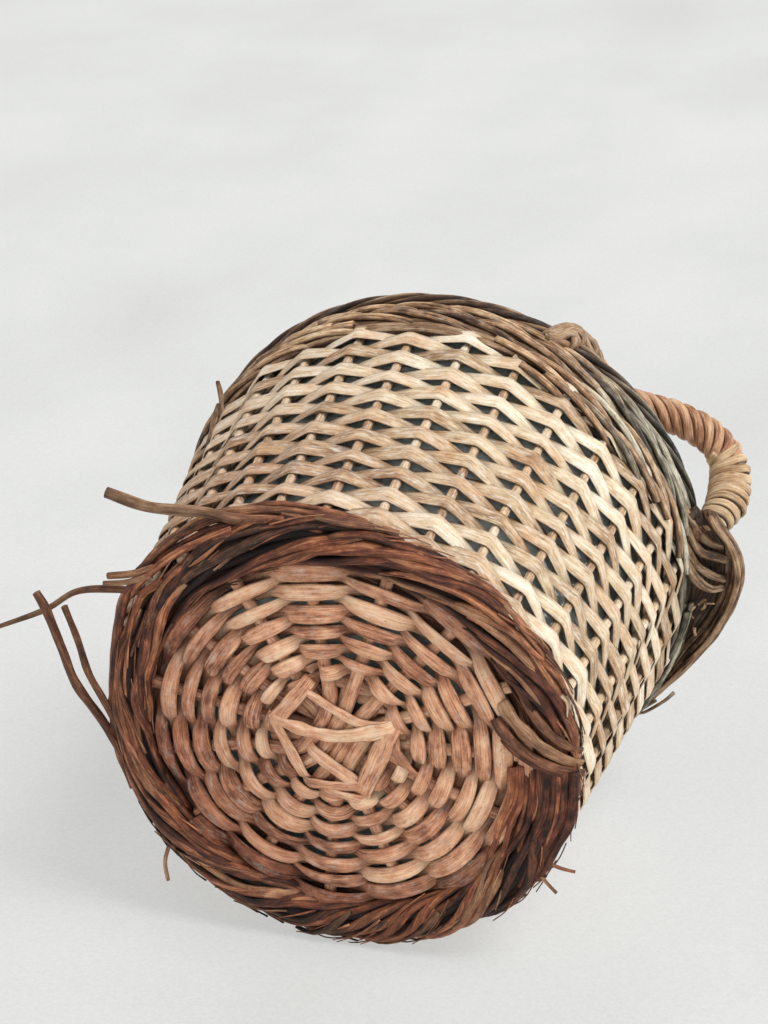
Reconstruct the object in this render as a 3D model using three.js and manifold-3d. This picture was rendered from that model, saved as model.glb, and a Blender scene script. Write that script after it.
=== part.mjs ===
// A squat glass demijohn in its willow basket: foot border, woven base and side,
// shoulder band, cape up to the neck, two roped handles, a cork and a few sprung canes.
// Millimetres, +Z up, origin at the centre of the plane that the foot stands on.

import * as THREE from 'three';
import { mergeVertices } from 'three/addons/utils/BufferGeometryUtils.js';
import Module from 'manifold-3d';

const wasm = await Module();
wasm.setup();

// Driving dimensions

const GAP = 0.3; // clearance between neighbours that touch

const FOOT_RADIUS = 127; // outside of the foot border
const FOOT_ROD = 6.4; // diameter of its rods
const FOOT_RODS = 4;
const FOOT_TURNS = 5; // times that each rod winds round the border
const FOOT_WIDTH = 25.2; // of the border, seen from below
const FOOT_WEAR = 1; // how far its rods are worn flat where they stand

const WALL_FOOT_RADIUS = 124.5; // outside of the side weave, carried down to the floor
const WALL_FLARE = 0.105; // growth of that radius for each millimetre of height
const SKEIN = 1.4; // thickness of a split willow skein
const SKEIN_WIDTH = 6.4;
const WEAVE_ROUNDS = 17; // of the skein that winds up the side
const STAKE = 5; // diameter of an upright stake
const STAKES = 29;
const STAKE_START = -46.2; // azimuth of the first stake, degrees

const BAND_DROP = 12; // from the bend of the stakes down to the foot of the shoulder band
const BAND_ROD = 5;
const BAND_ROWS = 6;
const ROWS_PER_COURSE = 2;
const BORDER_ROD = 6; // the rolled border on top of the band

const CAPE = 4.5; // thickness of the woven cape over the shoulder
const CAPE_DIP = 3.2; // between the stakes that lie in it

const BEND_HEIGHT = 205; // where stakes and glass start to turn in
const NECK_BASE_HEIGHT = 334;
const NECK_RADIUS = 22.5;
const MOUTH_HEIGHT = 384;
const LIP_HEIGHT = 11;
const LIP_WIDTH = 5; // how far the lip stands out from the neck
const GLASS = 4; // thickness of the glass
const BORE_RADIUS = 14.5;
const GLASS_TO_STAKE = 2.4; // room behind the stakes for the skeins

const CORK_PLUG = 24; // length inside the neck
const CORK_HEAD = 13; // length above the mouth
const CORK_HEAD_RADIUS = 16.5;

const BASE_STICK = 6.8; // diameter
const BASE_CENTRE_HEIGHT = 6.5; // of the sticks' axes at the centre
const BASE_RIM_HEIGHT = 9.5; // and at the border
const STICK_ANGLE = 24; // between neighbouring stick ends
const BASE_TURN = -52; // azimuth of the lower bundle of sticks
const BASE_HUB = 37; // radius where the base weave starts
const BASE_ROUNDS = 11;
const LASHING_WIDTH = 8;

const ROPE_RADIUS = 10; // of a handle
const ROPE_TURNS = 7;
const BOW_RADIUS = 8; // of a handle's end under its whipping
const HANDLE_HALF_SPAN = 73.5;
const HANDLE_SEAT = 13; // height of its ends above the foot of the band
const HANDLE_RISE = 61;
const HANDLE_LEAN = 10;
const HANDLE_AZIMUTH = -28;
const WHIPPING_TURNS = 9;
const WHIPPING_PITCH = 5;
const WHIPPING_WIDTH = 2.9;
const WHIPPING_STEPS = 10; // straight steps in a turn

const COLLAR_RADIUS = 4.2; // of the twist round the neck

// Derived places

const wallRadius = (z) => WALL_FOOT_RADIUS + WALL_FLARE * z;
const stakeInset = SKEIN + STAKE / 2;
const glassInset = stakeInset + STAKE / 2 + GLASS_TO_STAKE;
const shoulderRadius = wallRadius(BEND_HEIGHT) - glassInset;
const footRise = Math.SQRT1_2 * (FOOT_ROD + GAP); // swing of a border rod about its middle height
const footFlat = (FOOT_ROD / 2) * Math.cos(Math.PI / 6); // from a rod's middle to its flats
const footMiddle = footRise + footFlat - FOOT_WEAR;
const footSeat = footMiddle + footRise + footFlat + GAP;
const footInside = FOOT_RADIUS - FOOT_WIDTH;
const bandBottom = BEND_HEIGHT - BAND_DROP;
const bandTop = bandBottom + BAND_ROWS * BAND_ROD;
const handleSeatHeight = bandBottom + HANDLE_SEAT;
const whippingRadius = (BOW_RADIUS + GAP) / Math.cos(Math.PI / WHIPPING_STEPS) + SKEIN;
const capeRoom = GLASS_TO_STAKE + GAP;
const weaveLean = 1.1; // a skein leans on its way round a stake, and needs this much more room
const weaveSwing = (STAKE / 2 + GAP) * weaveLean + SKEIN / 2; // to either side of the stakes

const radians = THREE.MathUtils.degToRad;
const polar = (radius, azimuth, z) =>
  new THREE.Vector3(radius * Math.cos(azimuth), radius * Math.sin(azimuth), z);

// The glass turns in from the shoulder and sweeps up into the neck.
function glassRadius(z) {
  if (z <= BEND_HEIGHT) return wallRadius(z) - glassInset;
  const t = Math.min(1, (z - BEND_HEIGHT) / (NECK_BASE_HEIGHT - BEND_HEIGHT));
  const share = 0.5 * (1 + Math.cos(Math.PI * t));
  return NECK_RADIUS + (shoulderRadius - NECK_RADIUS) * share;
}

const glassSlope = (z) => glassRadius(z + 0.5) - glassRadius(z - 0.5);

// A point that stands off the glass, square to it: [radius, height].
function offGlass(z, distance) {
  const slope = glassSlope(z);
  const length = Math.hypot(1, slope);
  return [glassRadius(z) + distance / length, z - (distance * slope) / length];
}

// The inside of the band: it clears the stakes, which lean with the glass.
const bandRadius = (z) =>
  glassRadius(z) + (GLASS_TO_STAKE + STAKE + GAP) * Math.hypot(1, glassSlope(z));

// Materials

const finish = (color, roughness, more = {}) =>
  new THREE.MeshStandardMaterial({ color, roughness, metalness: 0, ...more });
const materials = {
  glass: finish('#40584b', 0.08, { transparent: true, opacity: 0.5 }),
  cork: finish('#b08457', 0.9),
  brownWillow: finish('#6b3d26', 0.75),
  paleWillow: finish('#c9ad82', 0.7),
  baseWillow: finish('#be8a68', 0.72),
  greyWillow: finish('#6d6350', 0.78),
  ropeWillow: finish('#a3683f', 0.7),
  whipping: finish('#cdb07f', 0.65),
};

// Shape helpers

const root = new THREE.Group();
function add(name, geometry, material, parent = root) {
  const mesh = new THREE.Mesh(geometry, material);
  mesh.name = name;
  parent.add(mesh);
  return mesh;
}

// Turned pieces: the outline is a list of [radius, height], anticlockwise.
function turned(outline, segments, start = 0) {
  const points = outline.map(([r, z]) => new THREE.Vector2(r, z));
  const geometry = new THREE.LatheGeometry(points, segments, radians(start + 90), Math.PI * 2);
  return geometry.rotateX(Math.PI / 2);
}

// A closed skin over cross-sections of equal count: a loop, or a bar with flat ends.
function skin(sections, loop = false) {
  const sides = sections[0].length;
  const last = (sections.length - 1) * sides;
  const triangles = [];
  for (let i = 0; i < sections.length - (loop ? 0 : 1); i++) {
    const here = i * sides;
    const next = ((i + 1) % sections.length) * sides;
    for (let j = 0; j < sides; j++) {
      const k = (j + 1) % sides;
      triangles.push(here + j, here + k, next + k, here + j, next + k, next + j);
    }
  }
  for (let j = 1; j < sides - 1 && !loop; j++) {
    triangles.push(0, j + 1, j, last, last + j, last + j + 1);
  }
  const geometry = new THREE.BufferGeometry();
  const positions = sections.flat().flatMap((p) => p.toArray());
  geometry.setAttribute('position', new THREE.Float32BufferAttribute(positions, 3));
  geometry.setIndex(triangles);
  geometry.computeVertexNormals();
  return geometry;
}

// Cross-sections along a line of points. outline(i) gives [across, up] pairs, and
// across(i) the direction that "across" keeps to.
function sectionsAlong(points, outline, across, loop = false) {
  const count = points.length;
  return points.map((point, i) => {
    const before = points[loop ? (i - 1 + count) % count : Math.max(i - 1, 0)];
    const after = points[loop ? (i + 1) % count : Math.min(i + 1, count - 1)];
    const tangent = after.clone().sub(before).normalize();
    const u = across(i).clone();
    u.addScaledVector(tangent, -u.dot(tangent)).normalize();
    const v = tangent.clone().cross(u);
    return outline(i).map(([a, b]) => point.clone().addScaledVector(u, a).addScaledVector(v, b));
  });
}

// A round outline; with lobes, its radius dips between them and the outline turns.
function round(radius, sides, { lobes = 0, dip = 0, turn = 0 } = {}) {
  return Array.from({ length: sides }, (_, j) => {
    const angle = (2 * Math.PI * j) / sides;
    const r = radius - (dip / 2) * (1 - Math.cos(lobes * angle));
    return [r * Math.cos(angle + turn), r * Math.sin(angle + turn)];
  });
}

// A rod bent along points, six-sided: straight between them, or along a smooth curve.
const up = new THREE.Vector3(0, 0, 1);
const bentRod = (points, diameter, across = up) =>
  skin(sectionsAlong(points, () => round(diameter / 2, 6), () => across));

function smoothRod(points, diameter, steps) {
  const curve = new THREE.CatmullRomCurve3(points, false, 'centripetal');
  return bentRod(curve.getSpacedPoints(steps), diameter);
}

function solid(geometry) {
  const bare = geometry.clone();
  bare.deleteAttribute('normal');
  bare.deleteAttribute('uv');
  const merged = mergeVertices(bare, 1e-4);
  return new wasm.Manifold(
    new wasm.Mesh({
      numProp: 3,
      vertProperties: new Float32Array(merged.attributes.position.array),
      triVerts: new Uint32Array(merged.index.array),
    }),
  );
}

function fused(geometries) {
  const mesh = geometries
    .map(solid)
    .reduce((whole, piece) => whole.add(piece))
    .getMesh();
  const geometry = new THREE.BufferGeometry();
  geometry.setAttribute('position', new THREE.Float32BufferAttribute(mesh.vertProperties, 3));
  geometry.setIndex(Array.from(mesh.triVerts));
  geometry.computeVertexNormals();
  return geometry;
}

// Glass bottle: pushed-up bottom, flared side, shoulder, neck and lip, open at the mouth

function glassBottle() {
  const shoulderSteps = 8;
  const wallFoot = 36;
  const seat = BASE_RIM_HEIGHT + BASE_STICK / 2 + GAP;
  const lipUnder = MOUTH_HEIGHT - LIP_HEIGHT;
  const lipRadius = NECK_RADIUS + LIP_WIDTH;
  const upperOutside = Array.from({ length: shoulderSteps + 1 }, (_, i) => {
    const z = BEND_HEIGHT + ((NECK_BASE_HEIGHT - BEND_HEIGHT) * i) / shoulderSteps;
    return [glassRadius(z), z];
  });
  const heel = glassRadius(wallFoot);
  const outside = [
    [0, seat + 12],
    [heel * 0.5, seat + 9],
    [heel * 0.74, seat + 1.5],
    [heel * 0.81, seat],
    [heel * 0.89, seat + 2],
    [heel * 0.96, seat + 10],
    [heel, wallFoot],
    ...upperOutside,
    [NECK_RADIUS, lipUnder],
    [lipRadius, lipUnder + 2],
    [lipRadius, MOUTH_HEIGHT - 2],
    [lipRadius - 2, MOUTH_HEIGHT],
  ];
  const innerShoulder = upperOutside
    .map(([r, z]) => [r - GLASS * (r > BORE_RADIUS + 2 * GLASS ? 1.1 : 1), z - GLASS * 0.5])
    .filter(([r]) => r > BORE_RADIUS + 1)
    .reverse();
  const inside = [
    [BORE_RADIUS, MOUTH_HEIGHT],
    [BORE_RADIUS, NECK_BASE_HEIGHT + 4],
    ...innerShoulder,
    [heel - GLASS, wallFoot + 2],
    [heel * 0.96 - GLASS, seat + 14],
    [heel * 0.86, seat + GLASS + 2],
    [heel * 0.74, seat + GLASS + 2],
    [heel * 0.5, seat + 9 + GLASS],
    [0, seat + 12 + GLASS],
  ];
  add('glass_bottle', turned([...outside, ...inside], 24), materials.glass);
}

// Cork: straight in the neck, flared above it

function cork() {
  const plug = BORE_RADIUS - GAP;
  const outline = [
    [0, MOUTH_HEIGHT - CORK_PLUG],
    [plug - 0.8, MOUTH_HEIGHT - CORK_PLUG],
    [plug, MOUTH_HEIGHT - CORK_PLUG + 2],
    [plug, MOUTH_HEIGHT + GAP],
    [CORK_HEAD_RADIUS, MOUTH_HEIGHT + CORK_HEAD - 1],
    [CORK_HEAD_RADIUS - 1, MOUTH_HEIGHT + CORK_HEAD],
    [0, MOUTH_HEIGHT + CORK_HEAD],
  ];
  add('cork_stopper', turned(outline, 18), materials.cork);
}

// Base: two crossed bundles of sticks, one odd stick, a round of weave and a lashing

const stickHeight = (radius) =>
  BASE_CENTRE_HEIGHT +
  ((BASE_RIM_HEIGHT - BASE_CENTRE_HEIGHT) * radius) / (footInside - GAP);

// A stick runs beside its neighbours over the hub and fans out to its own azimuth.
function stick(lane, startAzimuth, endAzimuth, heading, lift) {
  const reach = footInside - GAP - 1;
  const flatHalf = BASE_STICK * 2 + 2;
  const along = new THREE.Vector3(Math.cos(heading), Math.sin(heading), 0);
  const aside = new THREE.Vector3(-along.y, along.x, 0);
  const beside = (s) =>
    new THREE.Vector3()
      .addScaledVector(along, s)
      .addScaledVector(aside, lane)
      .setZ(stickHeight(Math.abs(s)) + lift);
  const fan = (azimuth, radius) => polar(radius, azimuth, stickHeight(radius));
  const points = [
    fan(startAzimuth, reach),
    fan(startAzimuth, BASE_HUB + 12),
    beside(-flatHalf),
    beside(flatHalf),
    fan(endAzimuth, BASE_HUB + 12),
    fan(endAzimuth, reach),
  ];
  return bentRod(points, BASE_STICK);
}

function stickBundle(name, count, firstEnd, firstStart, heading, lift) {
  const lanePitch = BASE_STICK * 0.86;
  const sticks = Array.from({ length: count }, (_, i) => {
    const lane = (i - (count - 1) / 2) * lanePitch;
    const end = radians(BASE_TURN + firstEnd + i * STICK_ANGLE);
    const start = radians(BASE_TURN + firstStart - i * STICK_ANGLE);
    return stick(lane, start, end, radians(BASE_TURN + heading), lift);
  });
  add(name, fused(sticks), materials.baseWillow);
}

function base() {
  stickBundle('base_sticks_lower', 4, -1.5 * STICK_ANGLE, 9.5 * STICK_ANGLE, 0, 0);
  stickBundle('base_sticks_upper', 3, 2.5 * STICK_ANGLE, 12.5 * STICK_ANGLE, 90, BASE_STICK + GAP);
  const odd = radians(BASE_TURN + 5.5 * STICK_ANGLE);
  const oddRadii = [BASE_HUB - 6, footInside - GAP - 1];
  const oddPath = oddRadii.map((r) => polar(r, odd, stickHeight(r)));
  add('base_stick_odd', bentRod(oddPath, BASE_STICK), materials.baseWillow);

  // The rounds of weave under the sticks, as one ring whose face follows each round.
  const under = (r) => stickHeight(r) - BASE_STICK / 2 - GAP;
  const rim = footInside - GAP;
  const pitch = (rim - BASE_HUB) / BASE_ROUNDS;
  const groove = 0.6;
  const face = Array.from({ length: BASE_ROUNDS * 2 + 1 }, (_, i) => {
    const r = BASE_HUB + (i * pitch) / 2;
    return [r, under(r) - (i % 2 ? SKEIN : SKEIN - groove)];
  });
  const weave = [...face, [rim, under(rim)], [BASE_HUB, under(BASE_HUB)], face[0]];
  add('base_weave', turned(weave, 18, BASE_TURN), materials.baseWillow);

  // The lashing: flat skeins laid round the crossing, corner to corner.
  const corners = [
    [34.9, -154],
    [34.8, -110],
    [33.9, -17],
    [30.8, 76],
  ].map(([r, azimuth]) => polar(r, radians(azimuth), 0));
  const shape = new THREE.Shape(corners.map((p) => new THREE.Vector2(p.x, p.y)));
  const inset = 1 - (1.6 * LASHING_WIDTH) / corners[0].length();
  const hole = corners.map((p) => new THREE.Vector2(p.x * inset, p.y * inset)).reverse();
  shape.holes.push(new THREE.Path(hole));
  const lashing = new THREE.ExtrudeGeometry(shape, { depth: SKEIN, bevelEnabled: false });
  lashing.translate(0, 0, BASE_CENTRE_HEIGHT - BASE_STICK / 2 - GAP - SKEIN);
  add('base_lashing', lashing, materials.baseWillow);
}

// Foot border: rods laid round each other, worn flat where they stand

// The middle of one rod of the border, at an angle round the foot.
function footRodCentre(n, angle) {
  const phase = FOOT_TURNS * angle + (2 * Math.PI * n) / FOOT_RODS;
  const middle = FOOT_RADIUS - FOOT_WIDTH / 2;
  const across = (FOOT_WIDTH - FOOT_ROD) / 2;
  return polar(middle + across * Math.cos(phase), angle, footMiddle + footRise * Math.sin(phase));
}

function footBorder() {
  const steps = FOOT_TURNS * 10;
  const angles = Array.from({ length: steps }, (_, i) => (2 * Math.PI * i) / steps);
  for (let n = 0; n < FOOT_RODS; n++) {
    const sections = sectionsAlong(
      angles.map((angle) => footRodCentre(n, angle)),
      () => round(FOOT_ROD / 2, 6),
      (i) => polar(1, angles[i], 0),
      true,
    );
    for (const point of sections.flat()) point.z = Math.max(point.z, 0);
    add(`foot_border_rod_${n + 1}`, skin(sections, true), materials.brownWillow);
  }
}

// Side: stakes standing on the border, and the weave round them

function side() {
  const heights = [footSeat, BEND_HEIGHT - 2, BEND_HEIGHT + 8, bandTop - 3];
  const profile = heights.map((z) => offGlass(z, GLASS_TO_STAKE + STAKE / 2));
  for (let n = 0; n < STAKES; n++) {
    const azimuth = radians(STAKE_START) + (2 * Math.PI * n) / STAKES;
    const points = profile.map(([r, z]) => polar(r, azimuth, z));
    const outward = polar(1, azimuth, 0);
    const name = `side_stake_${String(n + 1).padStart(2, '0')}`;
    add(name, bentRod(points, STAKE, outward), materials.paleWillow);
  }
  // One skein winds up the side, in front of one stake and behind the next. Their odd number
  // puts each round in front where the one below it lies behind.
  const low = footSeat + GAP + SKEIN_WIDTH / 2;
  const high = bandBottom - GAP - SKEIN_WIDTH / 2;
  const crossings = WEAVE_ROUNDS * STAKES;
  const azimuthAt = (n) => radians(STAKE_START) + (2 * Math.PI * n) / STAKES;
  const path = Array.from({ length: crossings + 1 }, (_, n) => {
    const z = low + ((high - low) * n) / crossings;
    return polar(wallRadius(z) - stakeInset + (n % 2 ? -weaveSwing : weaveSwing), azimuthAt(n), z);
  });
  const [a, b] = [SKEIN / 2, SKEIN_WIDTH / 2];
  const sections = sectionsAlong(
    path,
    () => [
      [a, b],
      [-a, b],
      [-a, -b],
      [a, -b],
    ],
    (n) => polar(1, azimuthAt(n), 0),
  );
  add('side_weave', skin(sections), materials.paleWillow);
}

// Shoulder band: courses of round rods outside the stakes, and the rolled border on top

function shoulderBand() {
  const bulge = 1.5;
  const courses = ['lower', 'middle', 'upper'];
  courses.forEach((name, n) => {
    const low = bandBottom + n * ROWS_PER_COURSE * BAND_ROD + GAP;
    const high = low + ROWS_PER_COURSE * BAND_ROD - GAP;
    const row = (high - low) / ROWS_PER_COURSE;
    const face = [[bandRadius(low), low]];
    for (let i = 0; i < ROWS_PER_COURSE; i++) {
      const z = low + i * row;
      const out = bandRadius(z + row / 2) + BAND_ROD;
      face.push([out - bulge, z], [out, z + row / 2]);
    }
    face.push([bandRadius(high) + BAND_ROD - bulge, high], [bandRadius(high), high], face[0]);
    add(`shoulder_band_${name}`, turned(face, STAKES * 2, STAKE_START), materials.greyWillow);
  });
  // The border lies round the foot of the cape; its straight steps stay clear of it too.
  const [capeFoot] = offGlass(bandTop + GAP, capeRoom + CAPE);
  const steps = 34;
  const reach = (capeFoot + GAP + BORDER_ROD / 2) / Math.cos(Math.PI / steps);
  const height = bandTop + GAP + BORDER_ROD / 2;
  const angles = Array.from({ length: steps }, (_, i) => (2 * Math.PI * i) / steps);
  const border = sectionsAlong(
    angles.map((angle) => polar(reach, angle, height)),
    () => round(BORDER_ROD / 2, 6),
    (i) => polar(1, angles[i], 0),
    true,
  );
  add('top_border', skin(border, true), materials.greyWillow);
}

// Cape: the weave over the glass shoulder, and the twist that closes it round the neck

function cape() {
  const steps = 5;
  const low = bandTop + GAP;
  const high = NECK_BASE_HEIGHT - 8;
  const heights = Array.from({ length: steps + 1 }, (_, i) => low + ((high - low) * i) / steps);
  // A ring of the cape: out over each stake that lies in it, and in between them by the dip.
  const ring = (z, distance, dip) =>
    Array.from({ length: STAKES * 2 }, (_, i) => {
      const [r, height] = offGlass(z, distance - (i % 2 ? dip : 0));
      return polar(r, radians(STAKE_START) + (Math.PI * i) / STAKES, height);
    });
  const outer = heights.map((z) => ring(z, capeRoom + CAPE, CAPE_DIP));
  const inner = heights.map((z) => ring(z, capeRoom, 0));
  add('cape_weave', skin([...outer, ...inner.reverse()], true), materials.paleWillow);

  const angles = Array.from({ length: 28 }, (_, i) => (2 * Math.PI * i) / 28);
  const top = Math.max(...outer.flat().map((point) => point.z));
  const z = top + GAP + COLLAR_RADIUS;
  const ringRadius = glassRadius(z - COLLAR_RADIUS) + GAP + COLLAR_RADIUS;
  const collar = sectionsAlong(
    angles.map((angle) => polar(ringRadius, angle, z)),
    (i) => round(COLLAR_RADIUS, 6, { lobes: 3, dip: 1, turn: 6 * angles[i] }),
    (i) => polar(1, angles[i], 0),
    true,
  );
  add('neck_collar', skin(collar, true), materials.greyWillow);
}

// Handles: a roped bow that leans and sags a little, its two ends whipped to the band

// Each point: [share of the half span, share of the rise, share of the lean].
const BOW = [
  [1, 0, 0],
  [0.985, 0.33, 0.35],
  [0.94, 0.62, 0.75],
  [0.81, 0.85, 1],
  [0.62, 0.97, 0.8],
  [0.39, 1, 0.2],
  [0.19, 0.97, -0.4],
  [-0.01, 0.88, -0.95],
  [-0.22, 0.77, -1.1],
  [-0.44, 0.68, -0.75],
  [-0.63, 0.59, -0.15],
  [-0.8, 0.43, 0.33],
  [-0.93, 0.23, 0.3],
  [-1, 0, 0],
];

// The least gap between windings more than half a turn apart, from their own points.
function leastGap(sections, perTurn) {
  let least = Infinity;
  for (let i = 0; i < sections.length; i++) {
    for (let j = i + Math.ceil(perTurn * 0.6); j < sections.length; j++) {
      for (const a of sections[i]) {
        for (const b of sections[j]) least = Math.min(least, a.distanceTo(b));
      }
    }
  }
  return least;
}

function handle(letter, turn) {
  const group = new THREE.Group();
  group.rotation.z = radians(HANDLE_AZIMUTH + turn);
  root.add(group);

  const whippingFlat = whippingRadius * Math.cos(Math.PI / WHIPPING_STEPS);
  const seatRadius = bandRadius(handleSeatHeight) + BAND_ROD + GAP + whippingFlat;
  const chord = Math.sqrt(seatRadius ** 2 - HANDLE_HALF_SPAN ** 2);
  const curve = new THREE.CatmullRomCurve3(
    BOW.map(
      ([span, rise, lean]) =>
        new THREE.Vector3(
          chord + lean * HANDLE_LEAN,
          span * HANDLE_HALF_SPAN,
          handleSeatHeight + rise * HANDLE_RISE,
        ),
    ),
    false,
    'centripetal',
  );
  const length = curve.getLength();
  const outward = new THREE.Vector3(1, 0, 0);
  const whipped = WHIPPING_TURNS * WHIPPING_PITCH + 2;

  const ropeSteps = 36;
  const taper = 6;
  const core = sectionsAlong(
    curve.getSpacedPoints(ropeSteps),
    (i) => {
      const fromEnd = (Math.min(i, ropeSteps - i) * length) / ropeSteps - whipped;
      const share = THREE.MathUtils.clamp(fromEnd / taper, 0, 1);
      const radius = BOW_RADIUS + (ROPE_RADIUS - BOW_RADIUS) * share;
      const turnHere = (2 * Math.PI * ROPE_TURNS * i) / ropeSteps;
      return round(radius, 6, { lobes: 3, dip: 2 * share, turn: turnHere });
    },
    () => outward,
  );
  add(`handle_${letter}_rope`, skin(core), materials.ropeWillow, group);

  const steps = WHIPPING_TURNS * WHIPPING_STEPS;
  for (const [end, sign] of [
    ['near', 1],
    ['far', -1],
  ]) {
    const middle = [];
    const away = [];
    for (let i = 0; i <= steps; i++) {
      const s = (1 + (WHIPPING_TURNS * WHIPPING_PITCH * i) / steps) / length;
      const u = sign > 0 ? s : 1 - s;
      const tangent = curve.getTangentAt(u);
      const across = outward.clone().addScaledVector(tangent, -outward.dot(tangent)).normalize();
      const side = tangent.clone().cross(across);
      const angle = (2 * Math.PI * i) / WHIPPING_STEPS;
      const arm = across.multiplyScalar(Math.cos(angle)).addScaledVector(side, Math.sin(angle));
      away.push(arm);
      middle.push(curve.getPointAt(u).addScaledVector(arm, whippingRadius - SKEIN / 2));
    }
    const [a, b] = [SKEIN / 2, WHIPPING_WIDTH / 2];
    const sections = sectionsAlong(
      middle,
      () => [
        [a, b],
        [-a, b],
        [-a, -b],
        [a, -b],
      ],
      (i) => away[i],
    );
    add(`handle_${letter}_whipping_${end}`, skin(sections), materials.whipping, group);
    console.log(`handle ${letter} ${end} whipping, least gap:`, leastGap(sections, WHIPPING_STEPS));
  }
}

// Sprung canes: rods whose ends have come out of the foot border. Each leaves one of the
// border's rods at an azimuth, and then follows its own points: [out from the border, azimuth,
// height].
const SPRUNG = {
  cut: {
    diameter: 6.4,
    leaves: [3, -101],
    path: [
      [9.5, -108.4, 10],
      [17.1, -114.2, 10],
      [27.1, -119.6, 11],
      [44.1, -123.9, 12],
    ],
  },
  thin: {
    diameter: 3,
    leaves: [1, -137],
    path: [
      [9.7, -140.2, 12],
      [26.7, -145.1, 14],
      [38.1, -151.4, 14],
      [55.9, -157.5, 14],
    ],
  },
  long: {
    diameter: 5.4,
    leaves: [3, -174.7],
    path: [
      [14.2, -166.1, 7],
      [22.2, -158.2, 5],
      [35.1, -150.8, 5],
      [43.2, -148.1, 5],
    ],
  },
  short: {
    diameter: 4.8,
    leaves: [2, -166],
    path: [
      [7.7, -161.8, 6],
      [15.5, -154.4, 5],
      [27.3, -148.1, 5],
    ],
  },
};

function sprungCanes() {
  for (const [name, { diameter, leaves, path }] of Object.entries(SPRUNG)) {
    const [number, azimuth] = leaves;
    const start = footRodCentre(number - 1, radians(azimuth));
    const clear = footFlat + (diameter / 2) * Math.cos(Math.PI / 6) + GAP;
    start.addScaledVector(polar(1, radians(azimuth), 0), clear);
    const bends = path.map(([out, turn, z]) => polar(FOOT_RADIUS + out, radians(turn), z));
    const points = [start, ...bends];
    add(`sprung_cane_${name}`, smoothRod(points, diameter, 10), materials.brownWillow);
  }
}

glassBottle();
cork();
base();
footBorder();
side();
shoulderBand();
cape();
handle('a', 0);
handle('b', 180);
sprungCanes();

export default root;
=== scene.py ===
"""A squat glass demijohn in its old willow basket, seen from below with the base towards the camera."""

import math
import random

import bmesh
import bpy
from mathutils import Matrix, Vector


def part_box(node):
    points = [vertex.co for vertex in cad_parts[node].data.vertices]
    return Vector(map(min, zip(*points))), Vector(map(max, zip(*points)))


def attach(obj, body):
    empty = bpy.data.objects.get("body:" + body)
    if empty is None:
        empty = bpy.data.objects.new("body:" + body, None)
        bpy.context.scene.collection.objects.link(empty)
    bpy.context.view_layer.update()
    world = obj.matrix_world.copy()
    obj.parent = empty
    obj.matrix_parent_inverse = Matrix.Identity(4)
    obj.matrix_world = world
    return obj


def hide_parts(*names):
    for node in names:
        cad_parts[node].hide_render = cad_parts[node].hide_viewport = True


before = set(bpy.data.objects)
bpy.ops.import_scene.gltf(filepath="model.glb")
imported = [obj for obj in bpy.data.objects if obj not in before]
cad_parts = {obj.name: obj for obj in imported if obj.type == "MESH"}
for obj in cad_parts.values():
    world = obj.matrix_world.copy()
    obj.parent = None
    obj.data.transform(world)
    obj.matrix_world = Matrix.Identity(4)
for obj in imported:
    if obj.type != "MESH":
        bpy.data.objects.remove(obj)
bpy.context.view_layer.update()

# Sizes in millimetres, the same as the solids have

MM = 0.001
WALL_FOOT = 124.5
WALL_FLARE = 0.105
SKEIN = 1.4
STAKE = 5.0
STAKES = 29
STAKE_START = -46.2
STAKE_STEP = 360.0 / STAKES
BEND = 205.0
NECK_BASE = 334.0
NECK = 22.5
GLASS_TO_STAKE = 2.4
GLASS_TO_MIDDLE = GLASS_TO_STAKE + STAKE / 2
GLASS_INSET = SKEIN + STAKE + GLASS_TO_STAKE
SHOULDER = WALL_FOOT + WALL_FLARE * BEND - GLASS_INSET
MOUTH = 384.0
LIP = 11.0
LIP_WIDTH = 5.0
BORE = 14.5
GLASS = 4.0
BASE_SEAT = 13.2
BASE_STICK = 6.8
BASE_TURN = -52.0
BASE_RIM = 101.5
STICK_ENDS = 15
STICK_STEP = 360.0 / STICK_ENDS
HANDLE_AZIMUTH = -28.0

UP = Vector((0, 0, 1))
UNDER = Vector((0, 0, -1))


def wall_radius(z):
    """The outside of the side weave, which flares a little upwards."""
    return WALL_FOOT + WALL_FLARE * z


def glass_radius(z):
    """The outside of the glass: straight beside the stakes, then a soft shoulder up to the neck."""
    if z <= BEND:
        return wall_radius(z) - GLASS_INSET
    share = min(1.0, (z - BEND) / (NECK_BASE - BEND))
    return NECK + (SHOULDER - NECK) * 0.5 * (1 + math.cos(math.pi * share))


def glass_slope(z):
    """How much the radius of the glass changes over a millimetre of height."""
    return glass_radius(z + 0.5) - glass_radius(z - 0.5)


def off_glass(z, distance):
    """A place that stands off the glass, square to it: radius and height."""
    slope = glass_slope(z)
    length = math.hypot(1, slope)
    return glass_radius(z) + distance / length, z - distance * slope / length


def spot(radius, azimuth, z):
    """A place by its radius and azimuth round the upright axis, and its height."""
    turn = math.radians(azimuth)
    return Vector((radius * math.cos(turn), radius * math.sin(turn), z))


def wrap(azimuth):
    """The same azimuth, between -180 and 180 degrees."""
    return (azimuth + 180) % 360 - 180


def points_of(places):
    """The places of a table, as vectors."""
    return [Vector(place) for place in places]


def blend(low, high, share):
    """The value at a share of the way from low to high."""
    return low + (high - low) * share


def read_off(table, value):
    """The value of a table of pairs, straight between them."""
    if value <= table[0][0]:
        return table[0][1]
    for (a, low), (b, high) in zip(table, table[1:]):
        if value <= b:
            return blend(low, high, (value - a) / (b - a))
    return table[-1][1]


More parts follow.
